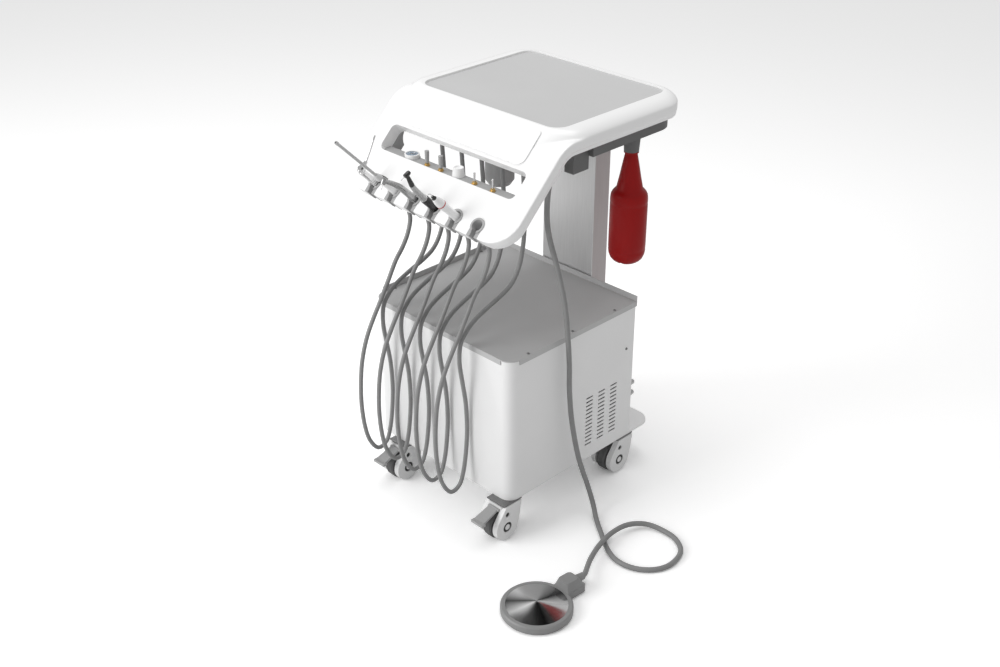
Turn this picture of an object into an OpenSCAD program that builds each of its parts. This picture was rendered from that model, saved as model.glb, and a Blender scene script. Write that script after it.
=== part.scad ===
// Portable dental unit: a wheeled compressor cabinet, a rear column and a
// waterfall-shaped instrument head with a tray, a windowed panel, five
// instruments on hoses, a water bottle and a foot control.

/* [Cabinet] */
// Width of the cabinet across its cover
cabinet_w = 450; // [400:1:520]
// Depth of the cabinet across its cover
cabinet_d = 416; // [380:1:460]
// Height of the cabinet from the underside of its base plate to the cover
cabinet_h = 363; // [320:1:420]
// Thickness of the base plate
base_t = 6; // [4:1:10]
// How far the base plate runs on behind the cabinet
shelf_d = 85; // [75:1:120]
// Corner radius of the rear shelf
shelf_r = 38; // [20:1:60]
// Thickness of the cabinet's sheet metal
sheet_t = 2; // [1.5:0.5:3]
// Radius of the two upright front corners
corner_r = 30; // [15:1:45]
// Drop of the cover's bent lips
lip_h = 13; // [8:1:20]
// Height of the cover's rear and left upstands
upstand_h = 13; // [6:1:20]
// Distance of the cover screws from the cover's side edges
screw_inset = 7; // [6:1:14]
// Spacing of the cover screws along each side
screw_pitch = 141; // [100:1:160]
// Radius of a cover screw's head
screw_r = 3.5; // [2.5:0.5:5]

/* [Vents] */
// Number of vent columns on each side
vent_cols = 3; // [1:1:4]
// Number of slots in a vent column
vent_rows = 13; // [4:1:16]
// Length of a vent slot
vent_l = 23; // [12:1:30]
// Height of a vent slot
vent_h = 4; // [2:0.5:5]
// Spacing of the vent columns
vent_pitch_y = 42; // [34:1:60]
// Spacing of the slots in a column
vent_pitch_z = 10.6; // [8:0.2:14]
// Distance of the middle vent column behind the cabinet's middle
vent_y = 98; // [40:1:110]
// Height of the middle of the vents above the floor
vent_z = 198; // [190:1:260]

/* [Casters] */
// Height of the base plate above the wheels
stem_h = 21; // [19:1:30]
// Radius of a caster wheel
wheel_r = 37; // [30:1:45]
// Width of a caster wheel
wheel_w = 32; // [24:1:36]
// Thickness of a caster's side cheek
cheek_t = 14; // [8:1:16]
// Trail of the wheel's axle from its swivel axis
trail = 20; // [12:1:28]
// Distance of the right-hand casters from the cabinet's middle
caster_right = 196; // [180:1:205]
// Distance of the left-hand casters from the cabinet's middle
caster_left = 142; // [120:1:190]
// Distance of the front swivel axes behind the cabinet's front
front_inset = 12; // [8:1:30]
// Distance of the rear swivel axes behind the cabinet's middle
caster_rear = 190; // [160:1:210]

/* [Column] */
// Width of the column
column_w = 158; // [120:1:180]
// Depth of the column
column_d = 52; // [40:1:60]
// Thickness of the column's brushed front plate
column_plate_t = 2; // [1:0.5:4]

/* [Head] */
// Width of the head
head_w = 515; // [490:1:560]
// Height of the tray rim above the floor
rim_z = 941; // [920:1:980]
// How far the rim stands above the head's side edges
rim_drop = 15; // [8:1:18]
// Width of the convex band between the tray and the side edge
rim_band = 41; // [30:1:44]
// Width of the convex band behind the tray
rear_band = 18; // [10:1:24]
// Distance of the head's rear edge behind the cabinet's middle
head_back = 318; // [300:1:330]
// Distance of the bend's line in front of the cabinet's middle
head_bend = 67; // [60:1:80]
// Slope length of the panel from the bend to its lower edge
panel_l = 268; // [262:1:290]
// Thickness of the moulded head
head_t = 31; // [26:1:36]
// Depth of the wide upper half of the head's edge
edge_t = 20; // [14:1:22]
// How far the lower half of the edge is set in
edge_step = 4; // [2:0.5:6]
// Radius of the bend at the head's side edges
bend_r = 82; // [60:1:90]
// Radius of the head's rear corners
head_rear_r = 76; // [40:1:90]
// Radius of the panel's lower corners
panel_r = 66; // [40:1:70]
// Width of the tray recess
tray_w = 422; // [400:1:424]
// Depth of the tray recess from front to back
tray_d = 356; // [320:1:356]
// How deep the tray is sunk
tray_sink = 7; // [5:1:10]
// Corner radius of the tray
tray_r = 34; // [15:1:45]
// Thickness of the tray's grey mat
mat_t = 3; // [2:0.5:4]
// Height of the grey pan under the head
pan_h = 27; // [20:1:32]
// How far the pan is set in from the head's sides
pan_inset = 19; // [12:1:30]
// Chamfer along the pan's lower rear edge
pan_chamfer = 14; // [6:1:18]
// Length of the block in front of the pan
block_l = 47; // [30:1:50]
// Width of the block
block_w = 25; // [16:1:32]
// Drop of the block below the head
block_h = 57; // [40:1:70]

/* [Panel] */
// Width of the window
window_w = 412; // [400:1:420]
// Height of the window along the panel
window_h = 64; // [58:1:66]
// Distance of the window's top from the bend along the panel
window_s = 103; // [100:1:108]
// Corner radius of the window
window_r = 14; // [6:1:20]
// Width of the raised cover plate
plate_w = 364; // [300:1:380]
// Length of the raised cover plate along the panel
plate_l = 82; // [60:1:86]
// Thickness of the raised cover plate
plate_t = 2.5; // [1.5:0.5:4]
// Corner radius of the cover plate
plate_r = 18; // [8:1:26]
// Depth of the window's grey end cheeks behind the panel
liner_d = 28; // [20:1:34]
// Thickness of the grey control tray
liner_t = 5; // [3:1:6]
// Depth of the control tray's floor from front to back
sill_d = 28; // [27:1:40]
// Height of the control tray's floor above the window's lower rear edge
sill_rise = 17; // [12:1:19]

/* [Controls] */
// Radius of the pressure gauge's bezel
gauge_r = 17; // [12:1:19]
// Height of the gauge
gauge_h = 9; // [6:1:14]
// Distance of the gauge from the middle
gauge_x = 122; // [105:1:130]
// Radius of a toggle's brass bush
bush_r = 6; // [5:0.5:7]
// Height of a toggle's brass bush
bush_h = 6; // [4:1:8]
// Radius of a toggle's lever
lever_r = 2; // [1.5:0.5:3]
// Height of a toggle's lever above its bush
lever_h = 22; // [16:1:28]
// Radius of a lever's pivot pin
pivot_r = 0.9; // [0.6:0.1:1.2]
// Half length of a lever's pivot pin
pivot_l = 3.4; // [2.8:0.1:3.8]
// Radius of the grey sleeve on the left toggles
sleeve_r = 5; // [4:0.5:6]
// Radius of the flow knob
knob_r = 14; // [9:1:15]
// Height of the flow knob
knob_h = 19; // [12:1:22]
// Radius of the knob's spindle through the liner
spindle_r = 4; // [3:0.5:5]

/* [Holders] */
// Number of instrument holders
holder_n = 6; // [6:1:6]
// Spacing of the instrument holders
holder_pitch = 64; // [60:1:68]
// Distance of the holders from the bend along the panel
holder_s = 242; // [238:1:246]
// Outer radius of a holder's grey funnel
funnel_r = 15; // [13:0.5:17]
// Width of the hose gap in a funnel
hose_gap = 13; // [11:1:15]
// How far the instruments reach behind the panel's face
rear_reach = 103; // [90:1:120]

/* [Instruments] */
// Radius of the instruments where they rest in their funnels
grip_r = 10; // [8:0.5:10]
// Radius of an instrument hose
hose_r = 5; // [3.5:0.5:6]
// Radius of the foot control's hose
foot_hose_r = 6; // [4:0.5:7]
// Length of the saliva ejector's straw
straw_l = 150; // [100:1:180]
// Radius of the saliva ejector's straw
straw_r = 3.4; // [2.5:0.1:4.5]
// Length of the syringe's nozzle
nozzle_l = 58; // [40:1:80]
// Radius of the syringe's nozzle
nozzle_r = 2.2; // [1.5:0.1:3]

/* [Bottle] */
// Radius of the water bottle's body
bottle_r = 42; // [35:1:44]
// Length of the water bottle below its cap
bottle_l = 262; // [220:1:300]
// Wall of the water bottle
bottle_wall = 1.5; // [1:0.5:3]
// Distance of the bottle from the middle
bottle_x = 214; // [205:1:216]
// Distance of the bottle behind the middle
bottle_y = 173; // [150:1:185]
// Height of the bottle's cap
bottle_cap_h = 34; // [26:1:44]
// Radius of the separator cup under the head
cup_r = 34; // [28:1:38]
// Height of the separator cup
cup_h = 162; // [120:1:180]

/* [Foot control] */
// Distance of the foot control from the middle, to the right
pedal_x = 442; // [420:1:480]
// Distance of the foot control in front of the middle
pedal_y = 344; // [330:1:360]
// Radius of the chrome foot disc
disc_r = 67; // [55:1:75]
// Rise of the disc's shallow cone
disc_rise = 9; // [5:1:14]
// Width of the grey rim around the disc
pedal_rim = 11; // [8:1:16]
// Height of the foot control's grey base
pedal_h = 15; // [12:1:22]
// Thickness of its rubber underside
rubber_t = 4; // [3:1:6]
// Length of the hood that takes the hose
hood_l = 66; // [50:1:80]
// Width of the hood
hood_w = 46; // [36:1:56]
// Height of the hood above the base
hood_h = 20.5; // [16:0.5:28]

/* [Hidden] */

// Running clearance between a moving piece and what carries it
fit = 0.3;
// Slope of the panel: the bend's geometry holds at half a right angle
panel_angle = 45;
$fn = 72;

// Heights and faces that several pieces share
base_z = 2 * wheel_r + stem_h;
base_top = base_z + base_t;
cover_z = base_z + cabinet_h;
body_x = cabinet_w / 2 - sheet_t - fit;
body_y = cabinet_d / 2 - sheet_t - fit;
body_r = corner_r - sheet_t - fit;
side_z = rim_z - rim_drop;
under_z = side_z - head_t;
pan_z = under_z - pan_h;
column_y = cabinet_d / 2 + 3;
shelf_y = cabinet_d / 2 + shelf_d;

// Frame: the floor under the middle of the whole stand
origin_x = (pedal_x + disc_r + pedal_rim - head_w / 2) / 2;
origin_y = (head_back - pedal_y - disc_r - pedal_rim) / 2;

// Bend of the head: its tangent length, centre and start on the slope
bend_tan = bend_r * tan(panel_angle / 2);
bend_cy = bend_tan - head_bend - rim_drop;
bend_cz = side_z - bend_r;
bend_step = 5;

// Control tray: its floor, front edge and the row of controls
sill_z = rim_z - (window_s + window_h + head_t) * sin(panel_angle) + sill_rise;
sill_t = (rim_z - (window_s + window_h) * sin(panel_angle) - sill_z) / sin(panel_angle);
sill_y = -head_bend - (window_s + window_h - sill_t) * sin(panel_angle);
ctrl_y = sill_y + bush_r + 2;
gauge_y = sill_y + gauge_r + 0.5;
toggle_x = [-63, -20, 83, 137];
knob_x = 26;

// Holder positions across the panel, and the funnels' depth
slot_x = [for (i = [0:holder_n - 1]) (i - (holder_n - 1) / 2) * holder_pitch];
funnel_h = head_t + 4;
foot_bore = grip_r + fit;
mouth_r = funnel_r - 2;

// Rear tray edges
tray_y0 = -head_bend + 7;
tray_y1 = tray_y0 + tray_d;

// Front edge of the pan under the head
pan_y0 = 20;

// Push-in connectors on the back of the cabinet: place and tube radius
port_x = 213;
port_z = [203, 232];
port_r = 4;

// Mains inlet and rocker switch on the back of the cabinet
inlet_x = -150;
inlet_z = 200;
rocker_w = 14;

// Bottle: neck inside its cap
neck_r = 13;
neck_l = 24;
cap_r = 18.8;

// Instruments: couplings, syringe buttons and chucks
coupling_r = 6.5;
coupling_h = 18;
button_r = 3.2;
button_x = 4;
button_h = 10;
button_travel = 2.5;
chuck_r = 1.6;

// Casters: swivel plates, pins and axles; x, y and 1 where there is a brake
caster_front = cabinet_d / 2 - front_inset;
plate_h = 3;
pin_r = 7;
axle_r = 6;
pin_z = 2 * wheel_r + 5;
brake_z = pin_z + 3;
caster_at = [[caster_right, -caster_front, 1], [-caster_left, -caster_front, 1],
    [caster_right, caster_rear, 0], [-caster_left, caster_rear, 0]];

// Foot control: plan direction of its hood, in degrees from straight back
hood_turn = 4;
disc_travel = 4;
disc_z = rubber_t + pedal_h - disc_travel;
stem_r = 8;
hood_z = 20.5;
boss_z = 24;

// Route of each instrument hose in its own upright plane (distance behind the
// middle, height), from the instrument's rear end round the low loop to the head
hose_route = [[-165.15, 696.91], [-156.8, 688.56], [-148.3, 680.1], [-142, 655], [-150, 623], [-167, 593],
    [-190, 565],
    [-212, 527], [-240, 480], [-262, 445], [-283, 406], [-298, 363], [-307, 315],
    [-311, 247], [-306, 181], [-293, 129], [-268, 94], [-241, 101], [-227, 137],
    [-219, 186], [-215, 242], [-218, 310], [-227, 367], [-235, 420], [-232, 462],
    [-217, 487], [-192, 507], [-150, 525], [-104, 541], [-72, 560], [-50, 594],
    [-39, 640], [-35, 690], [-36, 745], [-40, 800], [-42, 845], [-42, 882]];

// Glands under the head
gland_y = hose_route[len(hose_route) - 1][0];
hose_top = hose_route[len(hose_route) - 1][1];
gland_z = hose_top - 16;

// Route of the foot hose, from under the head to the foot control
foot_route = [[186, -42, 882], [186, -42.2, 862], [186, -46, 834], [186, -58, 800], [191, -66, 745],
    [199, -66, 700],
    [214, -63, 652], [228, -60, 604], [239, -54, 540], [243, -48, 470], [246, -44, 400],
    [248, -43, 330], [252, -36, 248], [262, -21, 150], [278, -3, 70], [294, 0, 24],
    [322, -20, 8], [363, -50, 6], [412, -84, 6], [456, -101, 6], [500, -94, 6],
    [534, -66, 6], [548, -26, 6], [536, 24, 6], [500, 52, 6], [458, 56, 7],
    [420, 42, 12], [397, 4, 18], [392, -46, 19], [402, -100, 19], [418, -146, 17],
    [435, -178, 18], [447, -197, 22], [451.4, -209, boss_z], [450.3, -225.1, boss_z]];

// ---- shared shapes ----

// Puts a piece modelled over the cabinet's middle into the part's frame
module unit() {
    translate([-origin_x, -origin_y, 0]) children();
}

// Outline between two depths with rounded corners: r0 in front, r1 behind
module outline(w, y0, y1, r0, r1) {
    translate([-w / 2, y0 + r0]) square([w, y1 - y0 - r0 - r1]);
    for (x = [-1, 1]) {
        if (r0 > 0) translate([x * (w / 2 - r0), y0 + r0]) circle(r0);
        if (r1 > 0) translate([x * (w / 2 - r1), y1 - r1]) circle(r1);
    }
    if (r0 > 0) translate([r0 - w / 2, y0]) square([w - 2 * r0, r0 + 1]);
    if (r1 > 0) translate([r1 - w / 2, y1 - r1 - 1]) square([w - 2 * r1, r1 + 1]);
}

// Places a piece on the sloping panel: x across, y up the slope, z outward
module on_panel(s) {
    translate([0, -head_bend, rim_z]) rotate([panel_angle, 0, 0]) translate([0, -s, 0]) children();
}

// Places an instrument in holder i: z runs outward from the panel's face
module in_holder(i) {
    on_panel(holder_s) translate([slot_x[i], 0, 0]) children();
}

// Rod of two radii between two points
module rod(a, b, r1, r2) {
    d = b - a;
    translate(a) rotate([0, acos(d[2] / norm(d)), atan2(d[1], d[0])])
        cylinder(h = norm(d), r1 = r1, r2 = r2);
}

// ---- swept hose ----

function unitv(v) = v / norm(v);
function bow(a, b, c, d, t) = 0.5 * (2 * b + (c - a) * t + (2 * a - 5 * b + 4 * c - d) * t * t
    + (3 * b - a - 3 * c + d) * t * t * t);
function smooth(p, n) = [for (i = [0:len(p) - 2], k = [0:n - 1])
    bow(p[max(i - 1, 0)], p[i], p[i + 1], p[min(i + 2, len(p) - 1)], k / n), p[len(p) - 1]];
function tangents(p) = [for (i = [0:len(p) - 1])
    unitv(p[min(i + 1, len(p) - 1)] - p[max(i - 1, 0)])];
function carry(t, i, u) = i >= len(t) ? [] :
    let (v = unitv(u - (u * t[i]) * t[i])) concat([v], carry(t, i + 1, v));

// Tube along a smooth line, with its first ring turned towards u
module hose(line, r, u, sides) {
    t = tangents(line);
    us = carry(t, 0, u);
    n = len(line);
    pts = [for (i = [0:n - 1], k = [0:sides - 1])
        let (a = 360 * k / sides) line[i] + r * cos(a) * us[i] + r * sin(a) * cross(t[i], us[i])];
    ends = [[for (k = [0:sides - 1]) k], [for (k = [0:sides - 1]) n * sides - 1 - k]];
    walls = [for (i = [0:n - 2], k = [0:sides - 1])
        let (a = i * sides + k, b = i * sides + (k + 1) % sides)
            each [[a, b + sides, b], [a, a + sides, b + sides]]];
    polyhedron(points = pts, faces = concat(ends, walls), convexity = 12);
}

// ---- cabinet ----

module base_plate() {
    color("whitesmoke") unit() translate([0, 0, base_z]) linear_extrude(base_t)
        outline(2 * body_x, -body_y, shelf_y, body_r, shelf_r);
}

// One grid of vent slots, seen along the cabinet's width
module vent_grid() {
    for (c = [0:vent_cols - 1], r = [0:vent_rows - 1])
        translate([vent_y + (c - (vent_cols - 1) / 2) * vent_pitch_y,
                   vent_z + (r - (vent_rows - 1) / 2) * vent_pitch_z])
            square([vent_l, vent_h], center = true);
}

module cabinet_wrap() {
    color("whitesmoke") unit() difference() {
        translate([0, 0, base_top]) linear_extrude(cover_z - sheet_t - base_top) difference() {
            outline(2 * body_x, -body_y, body_y, body_r, 0);
            outline(2 * (body_x - sheet_t), sheet_t - body_y, body_y + 1, body_r - sheet_t, 0);
        }
        translate([-body_x - 1, 0, 0]) rotate([90, 0, 90]) linear_extrude(2 * body_x + 2) vent_grid();
    }
}

module cabinet_back() {
    color("gainsboro") unit() translate([fit + sheet_t - body_x, body_y - sheet_t, base_top])
        cube([2 * (body_x - sheet_t - fit), sheet_t, cover_z - sheet_t - base_top]);
}

module top_cover() {
    lip_z = cover_z - lip_h;
    color("silver") unit() {
        translate([0, 0, cover_z - sheet_t]) linear_extrude(sheet_t)
            outline(cabinet_w, -cabinet_d / 2, cabinet_d / 2, corner_r, 0);
        translate([corner_r - cabinet_w / 2, -cabinet_d / 2, lip_z])
            cube([cabinet_w - 2 * corner_r, sheet_t, lip_h]);
        for (x = [-cabinet_w / 2, cabinet_w / 2 - sheet_t])
            translate([x, corner_r - cabinet_d / 2, lip_z])
                cube([sheet_t, cabinet_d - corner_r, lip_h]);
        translate([-cabinet_w / 2, cabinet_d / 2 - sheet_t, cover_z - sheet_t])
            cube([cabinet_w, sheet_t, sheet_t + upstand_h]);
        translate([-cabinet_w / 2, corner_r - cabinet_d / 2, cover_z - sheet_t])
            cube([sheet_t, cabinet_d - corner_r, sheet_t + upstand_h]);
    }
}

module cover_screws() {
    color("dimgray") unit() {
        for (x = [-1, 1], k = [-1, 0, 1])
            translate([x * (cabinet_w / 2 - screw_inset), k * screw_pitch - 5, cover_z]) screw_head();
        translate([body_x, body_y - 26, vent_z + 144]) rotate([0, 90, 0]) screw_head();
    }
}

// Pan head with a cross recess
module screw_head() {
    difference() {
        cylinder(h = 1.6, r1 = screw_r, r2 = screw_r - 0.6);
        for (a = [0, 90]) rotate([0, 0, a]) translate([-screw_r / 2, -0.4, 0.8]) cube([screw_r, 0.8, 2]);
    }
}

// Twin-head oil-free compressor on its feet, in front of the tank
module compressor_pump() {
    motor_r = 52;
    pump_y = -70;
    pump_z = base_top + 14 + motor_r;
    color("slategray") unit() translate([-10, pump_y, pump_z]) {
        rotate([0, 90, 0]) cylinder(h = 150, r = motor_r, center = true);
        for (k = [-3:3]) translate([k * 16, 0, 0]) rotate([0, 90, 0])
            cylinder(h = 4, r = motor_r + 5, center = true);
        for (x = [-1, 1]) translate([x * 96, 0, 0]) {
            rotate([0, 90, 0]) cylinder(h = 44, r = motor_r - 8, center = true);
            cylinder(h = 92, r = 27);
            for (k = [0:3]) translate([0, 0, 52 + k * 9]) cylinder(h = 3, r = 34);
            translate([-30, -30, 92]) cube([60, 60, 14]);
        }
        for (x = [-1, 1], y = [-1, 1]) translate([x * 60, y * 34, 0 - motor_r - 14])
            cylinder(h = 30, r = 9);
    }
}

// Air tank behind the vents, on two welded feet
module air_tank() {
    tank_r = 66;
    tank_l = 210;
    tank_z = base_top + 12 + tank_r;
    color("lightsteelblue") unit() translate([0, vent_y + 12, tank_z]) {
        rotate([0, 90, 0]) rotate_extrude() polygon(concat([[0, -tank_l / 2 - 30]],
            [for (a = [70:-10:0]) [tank_r * cos(a), -tank_l / 2 - 30 * sin(a)]],
            [for (a = [0:10:70]) [tank_r * cos(a), tank_l / 2 + 30 * sin(a)]], [[0, tank_l / 2 + 30]]));
        for (x = [-1, 1]) translate([x * 70 - 12, -40, -tank_r - 12]) cube([24, 80, 40]);
        translate([60, 0, 0]) cylinder(h = tank_r + 16, r = 10);
    }
}

// Two push-in tube connectors, for water and air, on the back of the cabinet
module back_fittings() {
    color("darkgray") unit() for (z = port_z) translate([port_x, body_y, z]) rotate([-90, 0, 0])
        difference() {
            union() {
                cylinder(h = 4, r = port_r + 5, $fn = 6);
                cylinder(h = 14, r = port_r + 2.5);
                cylinder(h = 17, r = port_r + 1.2);
            }
            translate([0, 0, 5]) cylinder(h = 20, r = port_r);
        }
}

// Mains inlet beside the rocker switch, in one black frame
module power_inlet() {
    color("black") unit() translate([inlet_x, body_y, inlet_z]) {
        difference() {
            translate([-24, 0, -31]) cube([48, 15, 62]);
            translate([-12.5, 2, -25]) cube([25, 20, 20]);
            translate([-rocker_w / 2 - fit, 1, 4]) cube([rocker_w + 2 * fit, 20, 22]);
        }
        for (x = [-7, 0, 7]) translate([x - 1, 1, -17]) cube([2, 7, 4]);
        for (x = [-1, 1]) translate([x * (rocker_w / 2 + fit) - (x > 0 ? 1 : 0), 5, 15])
            rotate([0, 90, 0]) cylinder(h = 1, r = 1.5);
    }
}

module power_switch() {
    color("firebrick") unit() translate([inlet_x, body_y + 5, inlet_z + 15]) difference() {
        intersection() {
            rotate([0, 90, 0]) cylinder(h = rocker_w, r = 12, center = true);
            translate([-rocker_w / 2, -2.2, -9.5]) cube([rocker_w, 20, 19]);
        }
        rotate([0, 90, 0]) cylinder(h = rocker_w + 2, r = 1.8, center = true);
    }
}

// ---- column ----

module column_post() {
    color("rosybrown") unit() translate([-column_w / 2, column_y + column_plate_t, base_top])
        cube([column_w, column_d - column_plate_t, pan_z - base_top]);
}

module column_plate() {
    color("silver") unit() translate([-column_w / 2, column_y, base_top])
        cube([column_w, column_plate_t, pan_z - base_top]);
}

// ---- head ----

// Side view of a layer of the head between two depths below its outer face
function head_layer(t0, t1) = concat([[head_back, side_z - t0]],
    [for (a = [0:bend_step:panel_angle]) bend_point(t0, a)], [panel_end(t0), panel_end(t1)],
    [for (a = [panel_angle:-bend_step:0]) bend_point(t1, a)], [[head_back, side_z - t1]]);
function bend_point(t, a) = [bend_cy - (bend_r - t) * sin(a), bend_cz + (bend_r - t) * cos(a)];
function panel_end(t) = [(t - panel_l) * sin(panel_angle) - head_bend, rim_z - (panel_l + t) * sin(panel_angle)];

// One level of the pillow above the tray's sides
module pillow_level(z, side, front, rear, r0) {
    translate([0, 0, z]) linear_extrude(0.1)
        outline(head_w - 2 * side, front + 0.1, head_back - rear, r0, max(head_rear_r - side / 2 - rear / 2, tray_r + 4),
            $fn = 32);
}

// Waterfall head: flat tray, rounded bend and windowed panel in one moulding
module head_shell() {
    color("white") unit() difference() {
        union() {
            // bent slab in two layers, the lower one set in
            intersection() {
                union() {
                    translate([-head_w / 2, 0, 0]) rotate([90, 0, 90])
                        linear_extrude(head_w) polygon(head_layer(0, edge_t));
                    translate([edge_step - head_w / 2, 0, 0]) rotate([90, 0, 90])
                        linear_extrude(head_w - 2 * edge_step) polygon(head_layer(edge_t / 2, head_t));
                }
                linear_extrude(rim_z) outline(head_w, -rim_z, head_back, 0, head_rear_r);
                on_panel(0) translate([0, 0, -rim_z]) linear_extrude(2 * rim_z)
                    outline(head_w, -panel_l, rim_z, panel_r, 0);
            }
            // convex pillow that carries the tray
            hull() {
                pillow_level(rim_z - 0.1, rim_band, 5 - head_bend, rear_band, tray_r + 5);
                pillow_level(side_z + rim_drop * 0.75, rim_band * 0.54, -head_bend - rim_drop * 0.25,
                    rear_band * 0.5, 44);
                pillow_level(side_z + rim_drop * 0.4, rim_band * 0.22, -head_bend - rim_drop * 0.6,
                    rear_band * 0.2, 60);
                pillow_level(side_z - 0.1, 0, -head_bend - rim_drop, 0, 72);
                pillow_level(side_z - 24, rim_band + 25, -head_bend - rim_drop - 24, rear_band + 20, 30);
            }
        }
        // tray recess
        translate([0, 0, rim_z - tray_sink]) linear_extrude(tray_sink + 5)
            outline(tray_w, tray_y0, tray_y1, tray_r, tray_r);
        // window
        on_panel(0) translate([0, 0, -head_t - 5]) linear_extrude(head_t + 15)
            outline(window_w, -window_s - window_h, -window_s, window_r, window_r);
        // holder notches
        for (i = [0:holder_n - 1]) in_holder(i) translate([0, 0, -head_t - 5])
            linear_extrude(head_t + 15) notch(funnel_r + fit);
    }
}

// Notch that opens at the panel's lower edge
module notch(r) {
    circle(r);
    translate([-r, holder_s - panel_l - 5]) square([2 * r, panel_l + 5 - holder_s]);
}

// Grey pan under the head, with the block in front of its right end
module head_pan() {
    w = head_w - 2 * pan_inset;
    r = head_rear_r - pan_inset;
    y1 = head_back - pan_inset;
    color("dimgray") unit() {
        translate([0, 0, pan_z]) difference() {
            linear_extrude(pan_h) outline(w, pan_y0, y1, 0, r);
            translate([-w, y1 - pan_chamfer, 0]) rotate([45, 0, 0])
                translate([0, 0, -3 * pan_chamfer]) cube([2 * w, 4 * pan_chamfer, 3 * pan_chamfer]);
        }
        translate([w / 2 - 13 - block_w, pan_y0 - block_l + 1, under_z - block_h])
            cube([block_w, block_l, block_h]);
        translate([w / 2 - 13 - block_w, pan_y0 - 1, under_z - pan_h]) cube([block_w, 2, pan_h]);
    }
}

module tray_mat() {
    color("darkgray") unit() translate([0, 0, rim_z - tray_sink]) linear_extrude(mat_t)
        outline(tray_w - 2 * fit, tray_y0 + fit, tray_y1 - fit, tray_r - fit, tray_r - fit);
}

module cover_plate() {
    color("white") unit() on_panel(window_s - 9) linear_extrude(plate_t)
        outline(plate_w, 0, plate_l, plate_r, 6);
}

// ---- controls ----

// Grey liner behind the window: floor, front leg and flange, and two end cheeks
module control_tray() {
    w = window_w - 2 * fit;
    s1 = window_s + window_h;
    color("gray") unit() difference() {
        union() {
            intersection() {
                union() {
                    translate([-w / 2, 0, 0]) rotate([90, 0, 90]) linear_extrude(w)
                        polygon([[sill_y + fit, sill_z], [sill_y + sill_d, sill_z],
                            [sill_y + sill_d, sill_z - liner_t], [sill_y + liner_t + fit, sill_z - liner_t]]);
                    translate([-gauge_x, gauge_y, sill_z - liner_t]) intersection() {
                        cylinder(h = liner_t, r = gauge_r + 1.5);
                        translate([-50, liner_t - gauge_r, 0]) cube([100, 100, liner_t]);
                    }
                    on_panel(s1) translate([-w / 2, fit, -head_t - liner_t])
                        cube([w, liner_t, head_t - sill_t - fit]);
                }
                on_panel(0) translate([0, 0, -head_t - 60]) linear_extrude(head_t + 60)
                    outline(w, fit - s1, -window_s, window_r - fit, window_r - fit);
            }
            on_panel(s1) translate([-w / 2, -28, -head_t - liner_t - fit]) cube([w, 28 + liner_t, liner_t]);
            for (x = [-1, 1]) on_panel(s1) translate([x > 0 ? w / 2 - 1 : -w / 2 - liner_t + 1, 0, 0])
                difference() {
                    translate([0, -28, -head_t - fit - liner_d]) cube([liner_t, window_h + 34, liner_d]);
                    translate([-1, window_h + 10, -head_t - liner_d - 12]) rotate([0, 90, 0])
                        cylinder(h = liner_t + 2, r = 34);
                }
        }
        translate([knob_x, ctrl_y + knob_r - bush_r, sill_z - liner_t - 1])
            cylinder(h = liner_t + 2, r = spindle_r + fit);
    }
}

module pressure_gauge() {
    color("white") unit() translate([-gauge_x, gauge_y, sill_z]) {
        difference() {
            cylinder(h = gauge_h, r1 = gauge_r - 1, r2 = gauge_r);
            translate([0, 0, gauge_h - 1.5]) cylinder(h = 3, r = gauge_r - 3);
        }
        translate([-0.8, -3, gauge_h - 1.6]) cube([1.6, 12, 0.8]);
    }
}

module toggle_bushes() {
    color("goldenrod") unit() for (x = toggle_x) translate([x, ctrl_y, sill_z]) difference() {
        union() {
            cylinder(h = bush_h / 2, r = bush_r + 0.8, $fn = 6);
            cylinder(h = bush_h, r = bush_r - 1.2);
        }
        translate([0, 0, bush_h / 2]) cylinder(h = bush_h, r1 = lever_r + fit, r2 = lever_r + fit + 1.2);
        translate([0, 0, bush_h / 2]) sphere(r = lever_r + fit);
        translate([0, 0, bush_h / 2]) rotate([0, 90, 0])
            cylinder(h = 2 * (pivot_l + fit), r = pivot_r + fit / 2, center = true);
    }
}

// Toggle lever on its ball; the left pair wear grey sleeves
module toggle(i) {
    color(i < 2 ? "gray" : "silver") unit() translate([toggle_x[i], ctrl_y, sill_z + bush_h / 2]) {
        sphere(r = lever_r);
        rotate([0, 90, 0]) cylinder(h = 2 * pivot_l, r = pivot_r, center = true);
        if (i < 2) {
            cylinder(h = bush_h / 2 + 3, r = lever_r);
            translate([0, 0, bush_h / 2 + 2]) cylinder(h = lever_h + 4, r1 = sleeve_r - 0.6, r2 = sleeve_r);
        } else {
            cylinder(h = bush_h / 2 + lever_h - 3, r1 = lever_r - 0.2, r2 = lever_r + 0.5);
            translate([0, 0, bush_h / 2 + lever_h - 3]) sphere(r = lever_r + 0.5);
        }
    }
}

module flow_knob() {
    color("white") unit() translate([knob_x, ctrl_y + knob_r - bush_r, sill_z + fit]) difference() {
        cylinder(h = knob_h, r1 = knob_r, r2 = knob_r - 2.5);
        translate([0, 0, knob_h - 2]) cylinder(h = 3, r1 = knob_r - 6, r2 = knob_r - 5);
        for (a = [0:30:330]) rotate([0, 0, a]) translate([knob_r + 1.2, 0, 4]) cylinder(h = knob_h, r = 2, $fn = 24);
    }
    color("white") unit() translate([knob_x, ctrl_y + knob_r - bush_r, sill_z - liner_t])
        cylinder(h = liner_t + 3, r = spindle_r);
}

// ---- holders and instruments ----

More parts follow.
